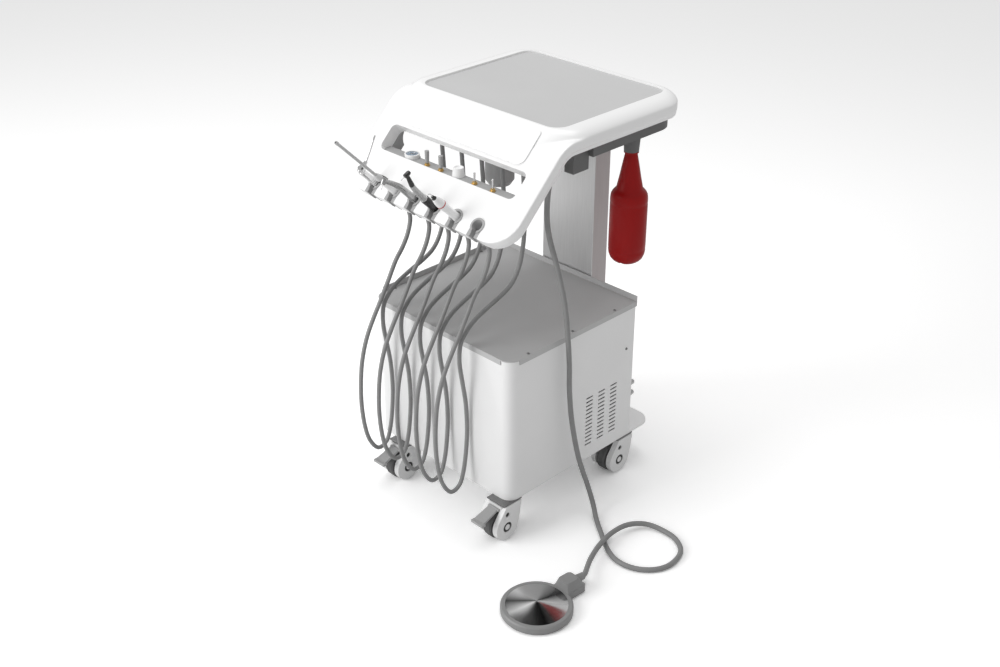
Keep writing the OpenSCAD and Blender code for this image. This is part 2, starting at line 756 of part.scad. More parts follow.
// Grey funnels with a hose gap, one lining each notch
module holder_funnels() {
    color("gray") unit() for (i = [0:holder_n - 1]) in_holder(i) difference() {
        union() {
            translate([0, 0, 2 - funnel_h]) linear_extrude(funnel_h - 2) intersection() {
                notch(funnel_r);
                translate([-50, holder_s - panel_l]) square(100);
            }
            cylinder(h = 2, r = funnel_r + 2);
        }
        translate([0, 0, -8]) cylinder(h = 11, r1 = foot_bore, r2 = mouth_r);
        translate([0, 0, -funnel_h - 1]) cylinder(h = funnel_h, r = foot_bore);
        translate([-hose_gap / 2, -60, -funnel_h - 1]) cube([hose_gap, 60, funnel_h + 5]);
    }
}

// Rear end of every instrument, from the hose coupling to the funnel
module rear_barrel(r) {
    translate([0, 0, -rear_reach]) cylinder(h = 20, r = coupling_r);
    translate([0, 0, 20 - rear_reach]) cylinder(h = 10, r1 = coupling_r, r2 = r);
    translate([0, 0, 30 - rear_reach]) cylinder(h = rear_reach - 30 - funnel_h, r = r);
    translate([0, 0, -funnel_h]) cylinder(h = funnel_h - 8, r = grip_r);
}

// Three-way syringe: barrel, bent neck, head and curved nozzle
module syringe_body() {
    color("silver") unit() in_holder(0) difference() {
        union() {
            rear_barrel(8);
            translate([0, 0, -8]) cylinder(h = 34, r1 = grip_r, r2 = 8);
            translate([0, 0, 26]) cylinder(h = 20, r = 8);
            translate([0, 0, 46]) sphere(r = 8);
            translate([0, -2, 54]) rotate([-90, 0, 0]) cylinder(h = 17, r = 8);
            translate([0, -2, 54]) rotate([90, 0, 0]) cylinder(h = 3, r = 6.5);
            translate([0, 14, 54]) rotate([-90, 0, 0]) cylinder(h = 9, r1 = 5.5, r2 = 3.6);
            rod([0, 22, 54], [0, 22 + nozzle_l * 0.6, 68], nozzle_r + 0.6, nozzle_r);
            translate([0, 22 + nozzle_l * 0.6, 68]) sphere(r = nozzle_r);
            rod([0, 22 + nozzle_l * 0.6, 68], [0, 22 + nozzle_l, 71], nozzle_r, nozzle_r - 0.5);
        }
        for (x = [-1, 1]) translate([x * button_x, 4, 54 - button_travel])
            cylinder(h = 20, r = button_r + fit);
    }
}

module syringe_button(x) {
    color("dimgray") unit() in_holder(0) translate([x, 4, 54 + fit]) cylinder(h = button_h, r = button_r);
}

// Saliva ejector: grip with a slide valve band and the mouth end
module ejector_handle() {
    color("gainsboro") unit() in_holder(1) difference() {
        union() {
            rear_barrel(8);
            translate([0, 0, -8]) cylinder(h = 40, r1 = grip_r, r2 = 8.4);
            translate([0, 0, 32]) cylinder(h = 18, r = 8.4);
            translate([0, 0, 50]) cylinder(h = 5, r = 9.4);
            translate([0, 0, 55]) cylinder(h = 16, r1 = 8.4, r2 = straw_r + 2);
        }
        translate([0, 0, 61]) cylinder(h = 20, r = straw_r + fit);
    }
}

module ejector_straw() {
    color("white") unit() in_holder(1) translate([0, 0, 61 + fit]) difference() {
        union() {
            cylinder(h = straw_l, r = straw_r);
            translate([0, 0, straw_l - 8]) cylinder(h = 8, r = straw_r + 0.6);
        }
        cylinder(h = 3 * straw_l, r = straw_r - 1, center = true);
    }
}

// High-speed turbine: tapered barrel, bent neck and round head
module turbine_handpiece() {
    neck = [0, -6, 84];
    head = [0, -13, 103];
    color("silver") unit() in_holder(2) difference() {
        union() {
            rear_barrel(7.5);
            translate([0, 0, -8]) cylinder(h = 12, r1 = grip_r, r2 = 8);
            translate([0, 0, 4]) cylinder(h = 44, r1 = 8, r2 = 7.2);
            translate([0, 0, 48]) sphere(r = 7.2);
            rod([0, 0, 48], neck, 7.2, 5.2);
            translate(neck) sphere(r = 5.2);
            rod(neck, head, 5.2, 4);
            translate(head) rotate([110, 0, 0]) cylinder(h = 13, r = 5.4, center = true);
            translate(head) rotate([-70, 0, 0]) cylinder(h = 8.5, r = 4.6);
        }
        translate(head) rotate([110, 0, 0]) cylinder(h = 8, r = chuck_r + fit);
    }
}

// Bur with its shank in the chuck
module bur() {
    cylinder(h = 16, r = 0.8);
    cylinder(h = 7, r = chuck_r);
    translate([0, 0, 12]) cylinder(h = 5, r1 = 0.9, r2 = 1.3);
}

module turbine_bur() {
    color("lightgray") unit() in_holder(2) translate([0, -13, 103]) rotate([110, 0, 0])
        translate([0, 0, fit]) bur();
}

// Low-speed motor with a contra-angle
module contra_handpiece() {
    elbow = [0, 3, 84];
    head = [0, 15, 119];
    color("dimgray") unit() in_holder(3) difference() {
        union() {
            rear_barrel(8);
            translate([0, 0, -8]) cylinder(h = 10, r1 = grip_r, r2 = 9.2);
            translate([0, 0, 2]) cylinder(h = 38, r = 9.2);
            translate([0, 0, 40]) cylinder(h = 4, r = 8);
            rod([0, 0, 44], elbow, 7.6, 5.6);
            translate(elbow) sphere(r = 5.6);
            rod(elbow, head, 5.6, 4);
            translate(head) rotate([72, 0, 0]) cylinder(h = 13, r = 5, center = true);
            translate(head) rotate([-108, 0, 0]) cylinder(h = 8.5, r = 4.2);
        }
        translate(head) rotate([72, 0, 0]) cylinder(h = 8, r = chuck_r + fit);
    }
}

module contra_bur() {
    color("lightgray") unit() in_holder(3) translate([0, 15, 119]) rotate([72, 0, 0])
        translate([0, 0, fit]) bur();
}

// Scaler: waisted white grip with a ring and a black nozzle
module scaler_handpiece() {
    color("white") unit() in_holder(4) {
        rear_barrel(8);
        translate([0, 0, -8]) cylinder(h = 10, r = grip_r);
        rotate_extrude() polygon([[0, 2], [9, 2], [8.4, 20], [8.6, 34], [9.8, 50], [10.2, 56],
            [9.6, 66], [7.6, 76], [5.2, 82], [0, 82]]);
        translate([0, 0, 82]) cylinder(h = 8, r1 = 4.6, r2 = 3);
        rod([0, 0, 90], [0, 2, 96], 1.4, 1);
        rod([0, 2, 96], [0, -3, 104], 1, 0.5);
    }
}

// Coupling nut and strain relief behind each instrument
module hose_couplings() {
    color("darkgray") unit() for (i = [0:holder_n - 2]) in_holder(i)
        translate([0, 0, -rear_reach - coupling_h]) difference() {
            union() {
                cylinder(h = 9, r1 = hose_r + 1.8, r2 = hose_r + 2);
                translate([0, 0, 9]) cylinder(h = coupling_h - 9, r = coupling_r + 0.8);
            }
            translate([0, 0, -1]) cylinder(h = coupling_h + 2, r = hose_r + fit);
            translate([0, 0, -0.01]) cylinder(h = 7, r1 = hose_r + 1.2, r2 = hose_r + fit);
        }
}

// ---- hoses ----

// Glands under the head that the hoses come out of
module hose_glands() {
    color("dimgray") unit() {
        for (i = [0:holder_n - 2]) translate([slot_x[i], gland_y, 0]) gland(hose_r);
        translate([foot_route[0][0], foot_route[0][1], 0]) gland(foot_hose_r);
    }
}

module gland(r) {
    top = under_z - fit;
    difference() {
        union() {
            translate([0, 0, gland_z]) cylinder(h = top - gland_z, r = r + 3);
            translate([0, 0, top - 6]) cylinder(h = 6, r = r + 5);
        }
        translate([0, 0, gland_z - 1]) cylinder(h = hose_top - gland_z + 1.3, r = r + fit);
    }
}

module instrument_hose(i) {
    line = [for (p = hose_route) [slot_x[i], p[0], p[1]]];
    color("darkgray") unit() hose(smooth(line, 2), hose_r, [1, 0, 0], 8);
}

module foot_hose() {
    color("darkgray") unit() hose(smooth(foot_route, 2), foot_hose_r, [1, 0, 0], 8);
}

// ---- bottle and cup ----

module water_bottle() {
    color("darkred") unit() translate([bottle_x, bottle_y, pan_z - bottle_cap_h]) difference() {
        union() {
            rotate_extrude() difference() {
                bottle_outline(0);
                bottle_outline(bottle_wall);
            }
            translate([0, 0, -3]) difference() {
                cylinder(h = 3 - fit, r = neck_r + 3.6);
                translate([0, 0, -1]) cylinder(h = 5, r = neck_r - bottle_wall / 2);
            }
        }
        for (a = [0:72:288]) rotate([0, 0, a]) translate([12, 0, -bottle_l - 3]) rotate([0, 78, 0])
            cylinder(h = 60, r = 7);
    }
}

// Half outline of the bottle: neck, collar, long cone, shoulder, body and foot
module bottle_outline(wall) {
    top = wall > 0 ? neck_l + 2 : neck_l;
    foot = wall > 0 ? 16 : 0;
    b = bottle_r - wall;
    polygon([[0, top], [neck_r - wall, top], [neck_r - wall, -6], [neck_r + 1 - wall, -8],
        [neck_r + 16 - wall, -86], [b - 8, -92], [b - 1.5, -100], [b, -110],
        [b, -bottle_l + 30 + foot / 2], [b - 3, -bottle_l + 14 + foot], [b - 12, -bottle_l + 4 + foot],
        [b - 22, -bottle_l + foot], [0, -bottle_l + foot + 3]]);
}

// Cap under the pan that the bottle screws into
module bottle_cap() {
    color("dimgray") unit() translate([bottle_x, bottle_y, pan_z - bottle_cap_h]) difference() {
        cylinder(h = bottle_cap_h, r1 = cap_r - 2.3, r2 = cap_r);
        translate([0, 0, -1]) cylinder(h = neck_l + 1 + fit, r = neck_r + fit);
    }
}

// Round separator cup that hangs behind the window
module separator_cup() {
    color("lightgray") unit() translate([-77, 60, pan_z - cup_h]) {
        translate([0, 0, 12]) cylinder(h = cup_h - 12, r = cup_r);
        cylinder(h = 12, r1 = cup_r - 8, r2 = cup_r);
        translate([0, 0, cup_h - 26]) cylinder(h = 8, r = cup_r + 1.5);
    }
}

// ---- foot control ----

module pedal_base() {
    base_r = disc_r + pedal_rim;
    top = rubber_t + pedal_h;
    color("gray") unit() translate([pedal_x, -pedal_y, 0]) difference() {
        union() {
            cylinder(h = rubber_t, r = base_r - 3);
            translate([0, 0, rubber_t]) cylinder(h = pedal_h - 3, r = base_r);
            translate([0, 0, top - 3]) cylinder(h = 3, r1 = base_r, r2 = base_r - 3);
            rotate([0, 0, -hood_turn]) translate([0, disc_r + 2, 0]) {
                translate([0, 0, rubber_t - 1]) linear_extrude(hood_z - rubber_t + 1)
                    outline(hood_w, 0, hood_l - 12, 3, 6);
                hull() {
                    translate([0, 0, hood_z - 2]) linear_extrude(1)
                        outline(hood_w - 1, 1, hood_l - 12.5, 3, 6, $fn = 24);
                    translate([0, 0, hood_z + hood_h - 6]) linear_extrude(6)
                        outline(hood_w - 16, 4, hood_l - 26, 6, 10, $fn = 24);
                }
                translate([0, hood_l - 30, boss_z]) rotate([-90, 0, 0])
                    cylinder(h = 30, r1 = foot_hose_r + 5, r2 = foot_hose_r + 2);
            }
        }
        translate([0, 0, top - 8]) cylinder(h = 20, r = disc_r + 0.4);
        translate([0, 0, -1]) cylinder(h = 40, r = stem_r + fit);
        rotate([0, 0, -hood_turn]) translate([0, disc_r + hood_l - 14, boss_z])
            rotate([-90, 0, 0]) cylinder(h = 30, r = foot_hose_r + 2 * fit);
    }
}

module pedal_disc() {
    color("silver") unit() translate([pedal_x, -pedal_y, disc_z + fit]) {
        cylinder(h = 3.5, r = disc_r);
        translate([0, 0, 3.5]) cylinder(h = disc_rise, r1 = disc_r, r2 = 5);
        translate([0, 0, -disc_z + rubber_t]) cylinder(h = disc_z - rubber_t + 1, r = stem_r);
    }
}

// ---- casters ----

// Swivel plates and their headed pins under the base plate
module caster_mounts() {
    color("dimgray") unit() for (c = caster_at) translate([c[0], c[1], 0]) {
        translate([-28, -28, base_z - plate_h]) cube([56, 56, plate_h]);
        translate([0, 0, pin_z]) cylinder(h = base_z - plate_h - pin_z, r = pin_r);
        translate([0, 0, pin_z - 4 - fit]) cylinder(h = 4, r = pin_r + 3);
        translate([0, 0, pin_z - 1 - fit]) cylinder(h = 2, r = pin_r);
    }
}

// Twin-cheek hood: the swivel axis is at the origin, the wheel trails to the front
module caster_hood(c) {
    top = base_z - plate_h - fit;
    out = wheel_w / 2 + 1 + cheek_t;
    color("white") unit() translate([c[0], c[1], 0]) difference() {
        union() {
            for (x = [-out, out - cheek_t]) translate([x, -trail, 0]) rotate([90, 0, 90])
                linear_extrude(cheek_t) cheek_side(top);
            translate([-out, -24, pin_z]) cube([2 * out, 48, top - pin_z]);
            translate([-out + 1, -trail, wheel_r]) rotate([0, 90, 0]) cylinder(h = 2 * out - 2, r = axle_r);
            if (c[2] > 0) translate([-20, -30, pin_z]) cube([40, 8, top - pin_z - 1]);
        }
        translate([0, 0, pin_z - 1]) cylinder(h = 40, r = pin_r + fit);
        for (x = [-1, 1]) translate([x * (out + 0.5), -trail, wheel_r]) rotate([0, -x * 90, 0]) {
            difference() {
                cylinder(h = 5, r = 13);
                translate([0, 0, -1]) cylinder(h = 7, r = axle_r + 1);
            }
            translate([(wheel_r - 3) * x, 0, 0]) cylinder(h = 4, r = 6);
        }
    }
}

// Side view of a cheek around the wheel's axle
module cheek_side(top) {
    translate([0, wheel_r]) circle(wheel_r - 3);
    polygon([[-31, wheel_r + 16], [trail - 24, top], [trail + 24, top], [trail + 20, wheel_r + 20],
        [32, wheel_r - 11], [0, wheel_r - 14]]);
}

module caster_wheel(c) {
    color("dimgray") unit() translate([c[0], c[1] - trail, wheel_r]) rotate([0, 90, 0])
        rotate_extrude() {
            r = wheel_r;
            w = wheel_w / 2;
            polygon([[axle_r + fit, -w], [r - 9, -w], [r - 8, 4 - w], [r - 3, 4 - w], [r, 7 - w],
                [r, w - 7], [r - 3, w - 4], [r - 8, w - 4], [r - 9, w], [axle_r + fit, w]]);
        }
}

// Brake pedal of a front caster, pressed down by the foot
module brake_pedal(c) {
    color("gainsboro") unit() translate([c[0], c[1] - 34, brake_z]) {
        rotate([0, 90, 0]) cylinder(h = 2 * (wheel_w / 2 + fit), r = 3.4, center = true);
        hull() {
            rotate([0, 90, 0]) cylinder(h = 26, r = 3, center = true, $fn = 24);
            translate([-15, -46, -17]) cube([30, 3, 5]);
        }
        translate([-18, -54, -20]) cube([36, 11, 6]);
    }
}

base_plate();
cabinet_wrap();
cabinet_back();
top_cover();
cover_screws();
compressor_pump();
air_tank();
back_fittings();
power_inlet();
power_switch();
column_post();
column_plate();
head_shell();
head_pan();
tray_mat();
cover_plate();
control_tray();
pressure_gauge();
toggle_bushes();
toggle(0);  // toggle_1
toggle(1);  // toggle_2
toggle(2);  // toggle_3
toggle(3);  // toggle_4
flow_knob();
holder_funnels();
syringe_body();
syringe_button(-button_x);  // syringe_air_button
syringe_button(button_x);  // syringe_water_button
ejector_handle();
ejector_straw();
turbine_handpiece();
turbine_bur();
contra_handpiece();
contra_bur();
scaler_handpiece();
hose_couplings();
hose_glands();
instrument_hose(0);  // instrument_hose_1
instrument_hose(1);  // instrument_hose_2
instrument_hose(2);  // instrument_hose_3
instrument_hose(3);  // instrument_hose_4
instrument_hose(4);  // instrument_hose_5
foot_hose();
water_bottle();
bottle_cap();
separator_cup();
pedal_base();
pedal_disc();
caster_mounts();
caster_hood(caster_at[0]);  // caster_hood_fr
caster_hood(caster_at[1]);  // caster_hood_fl
caster_hood(caster_at[2]);  // caster_hood_rr
caster_hood(caster_at[3]);  // caster_hood_rl
caster_wheel(caster_at[0]);  // caster_wheel_fr
caster_wheel(caster_at[1]);  // caster_wheel_fl
caster_wheel(caster_at[2]);  // caster_wheel_rr
caster_wheel(caster_at[3]);  // caster_wheel_rl
brake_pedal(caster_at[0]);  // brake_pedal_fr
brake_pedal(caster_at[1]);  // brake_pedal_fl
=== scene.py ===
import math

import bpy
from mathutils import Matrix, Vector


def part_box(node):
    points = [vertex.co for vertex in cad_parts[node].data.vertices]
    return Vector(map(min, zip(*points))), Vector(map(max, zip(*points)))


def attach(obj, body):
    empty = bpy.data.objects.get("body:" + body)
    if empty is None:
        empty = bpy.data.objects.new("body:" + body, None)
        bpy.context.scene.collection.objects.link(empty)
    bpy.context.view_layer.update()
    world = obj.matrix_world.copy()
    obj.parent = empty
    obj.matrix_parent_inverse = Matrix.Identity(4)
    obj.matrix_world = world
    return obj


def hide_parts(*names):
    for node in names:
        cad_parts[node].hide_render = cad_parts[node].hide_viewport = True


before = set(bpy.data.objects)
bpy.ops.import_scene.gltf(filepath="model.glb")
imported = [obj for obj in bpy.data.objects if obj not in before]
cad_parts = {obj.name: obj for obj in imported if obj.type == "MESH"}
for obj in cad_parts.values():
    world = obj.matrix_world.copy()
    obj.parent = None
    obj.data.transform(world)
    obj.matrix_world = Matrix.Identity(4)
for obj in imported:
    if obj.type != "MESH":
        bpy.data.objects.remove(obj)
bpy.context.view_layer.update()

# ---- Camera ----
# The view of the product shot: from the front right corner, looking down on the tray,
# with a short telephoto lens. The stand's middle lies 131 mm right of the cabinet's
# middle and 52 mm in front of it, so everything measured from the cabinet is moved.
middle = (-0.13125, 0.052)
camera = bpy.data.objects.new("view", bpy.data.cameras.new("view"))
bpy.context.collection.objects.link(camera)
camera.data.sensor_width = 36.0
camera.data.lens = 48.365
camera.location = (1.9557 + middle[0], -1.9542 + middle[1], 1.8948)
camera.rotation_euler = (math.radians(90 - 28.956), 0, math.radians(45.249))
bpy.context.scene.camera = camera

# ---- Hoses ----
# Five grey silicone hoses run from the rear ends of the instruments down to a low loop
# in front of the cabinet and up again to glands under the head. A thicker one drops from
# the same row of glands to the floor, makes one loop there and ends in the foot control.


class Socket:
    """An output of a shader node that can be used in arithmetic."""

    def __init__(self, paint, out):
        self.paint = paint
        self.out = out

    def math(self, operation, first, second):
        return self.paint.node("ShaderNodeMath", {"operation": operation}, {0: first, 1: second})

    def __add__(self, other):
        return self.math("ADD", self, other)

    def __radd__(self, other):
        return self.math("ADD", other, self)

    def __sub__(self, other):
        return self.math("SUBTRACT", self, other)

    def __rsub__(self, other):
        return self.math("SUBTRACT", other, self)

    def __mul__(self, other):
        return self.math("MULTIPLY", self, other)

    def __rmul__(self, other):
        return self.math("MULTIPLY", other, self)

    def __truediv__(self, other):
        return self.math("DIVIDE", self, other)

    def __pow__(self, other):
        return self.math("POWER", self, other)


class Paint:
    """A finish: one principled shader, with nodes that vary its colour, gloss and surface."""

    def __init__(self, name, **uniform):
        self.material = bpy.data.materials.new(name)
        self.material.use_nodes = True
        self.tree = self.material.node_tree
        self.shader = self.tree.nodes["Principled BSDF"]
        for socket, value in uniform.items():
            self.shader.inputs[socket.replace("_", " ")].default_value = value

    def node(self, kind, settings, sockets, out=0):
        made = self.tree.nodes.new(kind)
        for key, value in settings.items():
            if key == "stops":
                ramp = made.color_ramp.elements
                while len(ramp) < len(value):
                    ramp.new(0.5)
                for stop, (at, colour) in zip(ramp, value):
                    stop.position = at
                    stop.color = (*colour, 1)
            else:
                setattr(made, key, value)
        for key, value in sockets.items():
            if isinstance(value, Socket):
                self.tree.links.new(value.out, made.inputs[key])
            else:
                made.inputs[key].default_value = value
        return Socket(self, made.outputs[out])

    def place(self, scale=(1, 1, 1)):
        at = self.node("ShaderNodeTexCoord", {}, {}, out=3)
        return self.node("ShaderNodeMapping", {}, {"Vector": at, "Scale": scale})

    def noise(self, scale, detail=3, stretch=(1, 1, 1), rough=0.5):
        return self.node("ShaderNodeTexNoise", {}, {"Vector": self.place(stretch), "Scale": scale,
                                                   "Detail": detail, "Roughness": rough})

    def tint(self, factor, dark, light):
        return self.node("ShaderNodeMix", {"data_type": "RGBA"},
                         {"Factor": factor, 6: (*dark, 1), 7: (*light, 1)}, out=2)

    def drive(self, socket, source):
        self.tree.links.new(source.out, self.shader.inputs[socket])

    def bumps(self, height, strength, distance):
        self.drive("Normal", self.node("ShaderNodeBump", {}, {"Height": height, "Strength": strength,
                                                             "Distance": distance}))


def grey(level):
    """A neutral colour from its level on screen, 0 to 255."""
    level /= 255
    level = level / 12.92 if level < 0.04045 else ((level + 0.055) / 1.055) ** 2.4
    return (level, level, level)


def finish_node(node, paint):
    """Gives a piece of the frame its finish."""
    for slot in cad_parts[node].material_slots:
        slot.material = paint.material


silicone = Paint("grey silicone hose", Roughness=0.42, Specular_IOR_Level=0.4)
silicone.drive("Base Color", silicone.tint(silicone.noise(60), grey(128), grey(142)))
silicone.bumps(silicone.noise(900), 0.25, 0.0004)


def spline(points, steps):
    """Points on one smooth curve through the route's own points."""
    line = []
    for i in range(len(points) - 1):
        a, b = points[max(i - 1, 0)], points[i]
        c, d = points[i + 1], points[min(i + 2, len(points) - 1)]
        for k in range(steps):
            t = k / steps
            line.append(tuple(0.5 * (2 * q + (r - p) * t + (2 * p - 5 * q + 4 * r - s) * t * t
                                     + (3 * q - p - 3 * r + s) * t ** 3)
                              for p, q, r, s in zip(a, b, c, d)))
    return line + [tuple(points[-1])]


def hose(name, route, radius, node):
    """A round hose along a route in metres that starts at its gland."""
    line = spline(route, 4)
    curve = bpy.data.curves.new(name, "CURVE")
    curve.dimensions = "3D"
    curve.bevel_depth = radius
    curve.bevel_resolution = 5
    curve.use_fill_caps = True
    strand = curve.splines.new("POLY")
    strand.points.add(len(line) - 1)
    for point, at in zip(strand.points, line):
        point.co = (*at, 1)
    strand.use_smooth = True
    curve.materials.append(silicone.material)
    piece = bpy.data.objects.new(name, curve)
    bpy.context.collection.objects.link(piece)
    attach(piece, "stand")
    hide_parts(node)


# Distance behind the cabinet's middle and height in millimetres, from the handpiece to
# the gland. The holders stand evenly across the head, and the sixth one is empty.
loop = [(-165.15, 696.91), (-156.8, 688.56), (-148.3, 680.1), (-142, 655), (-150, 623), (-167, 593),
        (-190, 565), (-212, 527), (-240, 480), (-262, 445), (-283, 406), (-298, 363),
        (-307, 315), (-311, 247), (-306, 181), (-293, 129), (-268, 94), (-241, 101),
        (-227, 137), (-219, 186), (-215, 242), (-218, 310), (-227, 367), (-235, 420),
        (-232, 462), (-217, 487), (-192, 507), (-150, 525), (-104, 541), (-72, 560),
        (-50, 594), (-39, 640), (-35, 690), (-36, 745), (-40, 800), (-42, 845),
        (-42, 882)]
holders = (-0.160, -0.096, -0.032, 0.032, 0.096, 0.160)
hose_radius = 0.005
foot_hose_radius = 0.006
for number, across in enumerate(holders[:5], 1):
    hose(f"instrument_hose_line_{number}",
         [(across + middle[0], y / 1000 + middle[1], z / 1000) for y, z in reversed(loop)],
         hose_radius, f"instrument_hose_{number}")

# Across, behind and up in millimetres, from the gland to the foot control.
drop = [(186, -42, 882), (186, -42.2, 862), (186, -46, 834), (186, -58, 800), (191, -66, 745),
        (199, -66, 700), (214, -63, 652), (228, -60, 604), (239, -54, 540), (243, -48, 470),
        (246, -44, 400), (248, -43, 330), (252, -36, 248), (262, -21, 150), (278, -3, 70),
        (294, 0, 24), (322, -20, 8), (363, -50, 6), (412, -84, 6), (456, -101, 6),
        (500, -94, 6), (534, -66, 6), (548, -26, 6), (536, 24, 6), (500, 52, 6),
        (458, 56, 7), (420, 42, 12), (397, 4, 18), (392, -46, 19), (402, -100, 19),
        (418, -146, 17), (435, -178, 18), (447, -197, 22), (451.4, -209, 24), (450.3, -225.1, 24)]
hose("foot_hose_line", [(x / 1000 + middle[0], y / 1000 + middle[1], z / 1000) for x, y, z in drop],
     foot_hose_radius, "foot_hose")

# ---- Floor and light ----
# A white studio floor, a large soft lamp in front of the stand, a smaller one above it
# and an even white surround. The front faces take most of the light and the right-hand
# faces less, and the floor keeps the stand's shadow.
bpy.ops.mesh.primitive_plane_add(size=40, location=(0, 0, 0))
floor = bpy.context.object
floor.name = "floor"
ground = Paint("studio floor", Roughness=0.9, Specular_IOR_Level=0.0)
ground.drive("Base Color", ground.tint(ground.noise(3, 2), grey(236), grey(238)))
seen = ground.node("ShaderNodeLightPath", {}, {}, out=0)
lit = ground.node("ShaderNodeBsdfDiffuse", {}, {"Color": (1.2, 1.2, 1.2, 1)})
glow = ground.node("ShaderNodeEmission", {}, {"Color": (1, 1, 1, 1), "Strength": 0.06})
lift = ground.node("ShaderNodeAddShader", {}, {0: lit, 1: glow})
plain = Socket(ground, ground.shader.outputs[0])
both = ground.node("ShaderNodeMixShader", {}, {0: seen, 1: plain, 2: lift})
ground.tree.links.new(both.out, ground.tree.nodes["Material Output"].inputs["Surface"])
floor.data.materials.append(ground.material)

world = bpy.data.worlds.new("studio")
bpy.context.scene.world = world
world.use_nodes = True
sky = world.node_tree
soft = sky.nodes["Background"]
soft.inputs["Color"].default_value = (1, 1, 1, 1)
soft.inputs["Strength"].default_value = 0.55
backdrop = sky.nodes.new("ShaderNodeBackground")
backdrop.inputs["Strength"].default_value = 1.0
ray = sky.nodes.new("ShaderNodeLightPath")
blend = sky.nodes.new("ShaderNodeMixShader")
sky.links.new(ray.outputs["Is Camera Ray"], blend.inputs[0])
sky.links.new(soft.outputs[0], blend.inputs[1])
sky.links.new(backdrop.outputs[0], blend.inputs[2])
sky.links.new(blend.outputs[0], sky.nodes["World Output"].inputs["Surface"])

aim = (-0.1, 0, 0.5)
for name, place, size, power in (("key lamp", (-1.6, -3.3, 1.9), 2.4, 84),
                                 ("top lamp", (-0.5, 0.4, 3.2), 1.8, 28)):
    lamp = bpy.data.objects.new(name, bpy.data.lights.new(name, "AREA"))
    bpy.context.collection.objects.link(lamp)
    lamp.location = place
    lamp.data.size = size
    lamp.data.energy = power
    way = [b - a for a, b in zip(place, aim)]
    lamp.rotation_euler = (math.atan2(math.hypot(way[0], way[1]), -way[2]), 0,
                           math.atan2(way[1], way[0]) - math.pi / 2)

bpy.context.scene.view_settings.view_transform = "Standard"

# ---- Cabinet ----
# Folded steel sheet with a fine white powder coat: a base plate with a rear shelf, a
# wrap of front and sides with vent slots, and a grey cover held by small screws.
powder = Paint("white powder coat", Roughness=0.5, Specular_IOR_Level=0.4)
powder.drive("Base Color", powder.tint(powder.noise(9, 2), grey(232), grey(238)))
powder.bumps(powder.noise(1400, 2), 0.18, 0.0003)
for node in ("base_plate", "cabinet_wrap", "cabinet_back"):
    finish_node(node, powder)

cover_coat = Paint("grey cover coat", Roughness=0.46, Specular_IOR_Level=0.45)
cover_coat.drive("Base Color", cover_coat.tint(cover_coat.noise(8, 2), grey(182), grey(190)))
cover_coat.bumps(cover_coat.noise(1400, 2), 0.2, 0.0003)
finish_node("top_cover", cover_coat)

steel = Paint("dull steel", Metallic=1.0)
steel.drive("Base Color", steel.tint(steel.noise(300), grey(120), grey(150)))
steel.drive("Roughness", steel.noise(500) * 0.25 + 0.25)
for node in ("cover_screws", "hose_couplings", "caster_mounts"):
    finish_node(node, steel)

cast = Paint("cast alloy", Metallic=0.6, Roughness=0.6)
cast.drive("Base Color", cast.tint(cast.noise(120), grey(70), grey(105)))
cast.bumps(cast.noise(500), 0.5, 0.0006)
finish_node("compressor_pump", cast)

tank_coat = Paint("tank paint", Roughness=0.35)
tank_coat.drive("Base Color", tank_coat.tint(tank_coat.noise(20), grey(150), grey(175)))
finish_node("air_tank", tank_coat)

nickel = Paint("nickel plate", Metallic=1.0, Base_Color=(*grey(190), 1))
nickel.drive("Roughness", nickel.noise(400) * 0.15 + 0.15)
finish_node("back_fittings", nickel)

black = Paint("black moulding", Base_Color=(*grey(38), 1), Roughness=0.5)
black.bumps(black.noise(1200), 0.3, 0.0003)
finish_node("power_inlet", black)

red_gloss = Paint("red rocker", Base_Color=(0.4, 0.01, 0.01, 1), Roughness=0.25)
red_gloss.bumps(red_gloss.noise(800), 0.05, 0.0002)
finish_node("power_switch", red_gloss)

# ---- Column ----
# A hollow post of painted sheet metal behind the cabinet, with a brushed plate on its
# front face. Both are grained along their height.
brushed = Paint("brushed plate", Metallic=0.75)
grain = brushed.noise(40, 6, (14, 14, 0.35), 0.7)
brushed.drive("Base Color", brushed.tint(grain, grey(196), grey(226)))
brushed.drive("Roughness", grain * 0.3 + 0.25)
finish_node("column_plate", brushed)

warm = Paint("warm grey post", Roughness=0.4, Metallic=0.2)
warm.drive("Base Color", warm.tint(warm.noise(30, 4, (6, 6, 0.3)),
                                   (0.46, 0.42, 0.42), (0.54, 0.5, 0.5)))
finish_node("column_post", warm)

# ---- Head ----
# One large white moulding, bent like a waterfall: a flat tray part with a convex rim,
# a rounded bend, and a sloping panel with the window and six holder notches. It is built
# as two bent slabs and a crown over the tray, skinned as one and then cut.
shell_white = Paint("white moulding", Roughness=0.28, Specular_IOR_Level=0.5, Coat_Weight=0.15)
shell_white.drive("Base Color", shell_white.tint(shell_white.noise(7, 2), grey(238), grey(243)))
shell_white.bumps(shell_white.noise(700, 2), 0.04, 0.0002)
half_width = 0.2575
rear_edge = 0.318 + middle[1]
bend_line = -0.067 + middle[1]
slab_top = 0.926
rim_top = 0.941
bend_at = (0.052 - 0.04803, 0.844)
panel_length = 0.2128
slope = math.sqrt(0.5)
rear_corner = 0.076
low_corner = 0.066
hair = 1e-4


def mode(kind):
    """Switches the piece in hand between object and edit mode."""
    bpy.ops.object.mode_set(mode=kind)


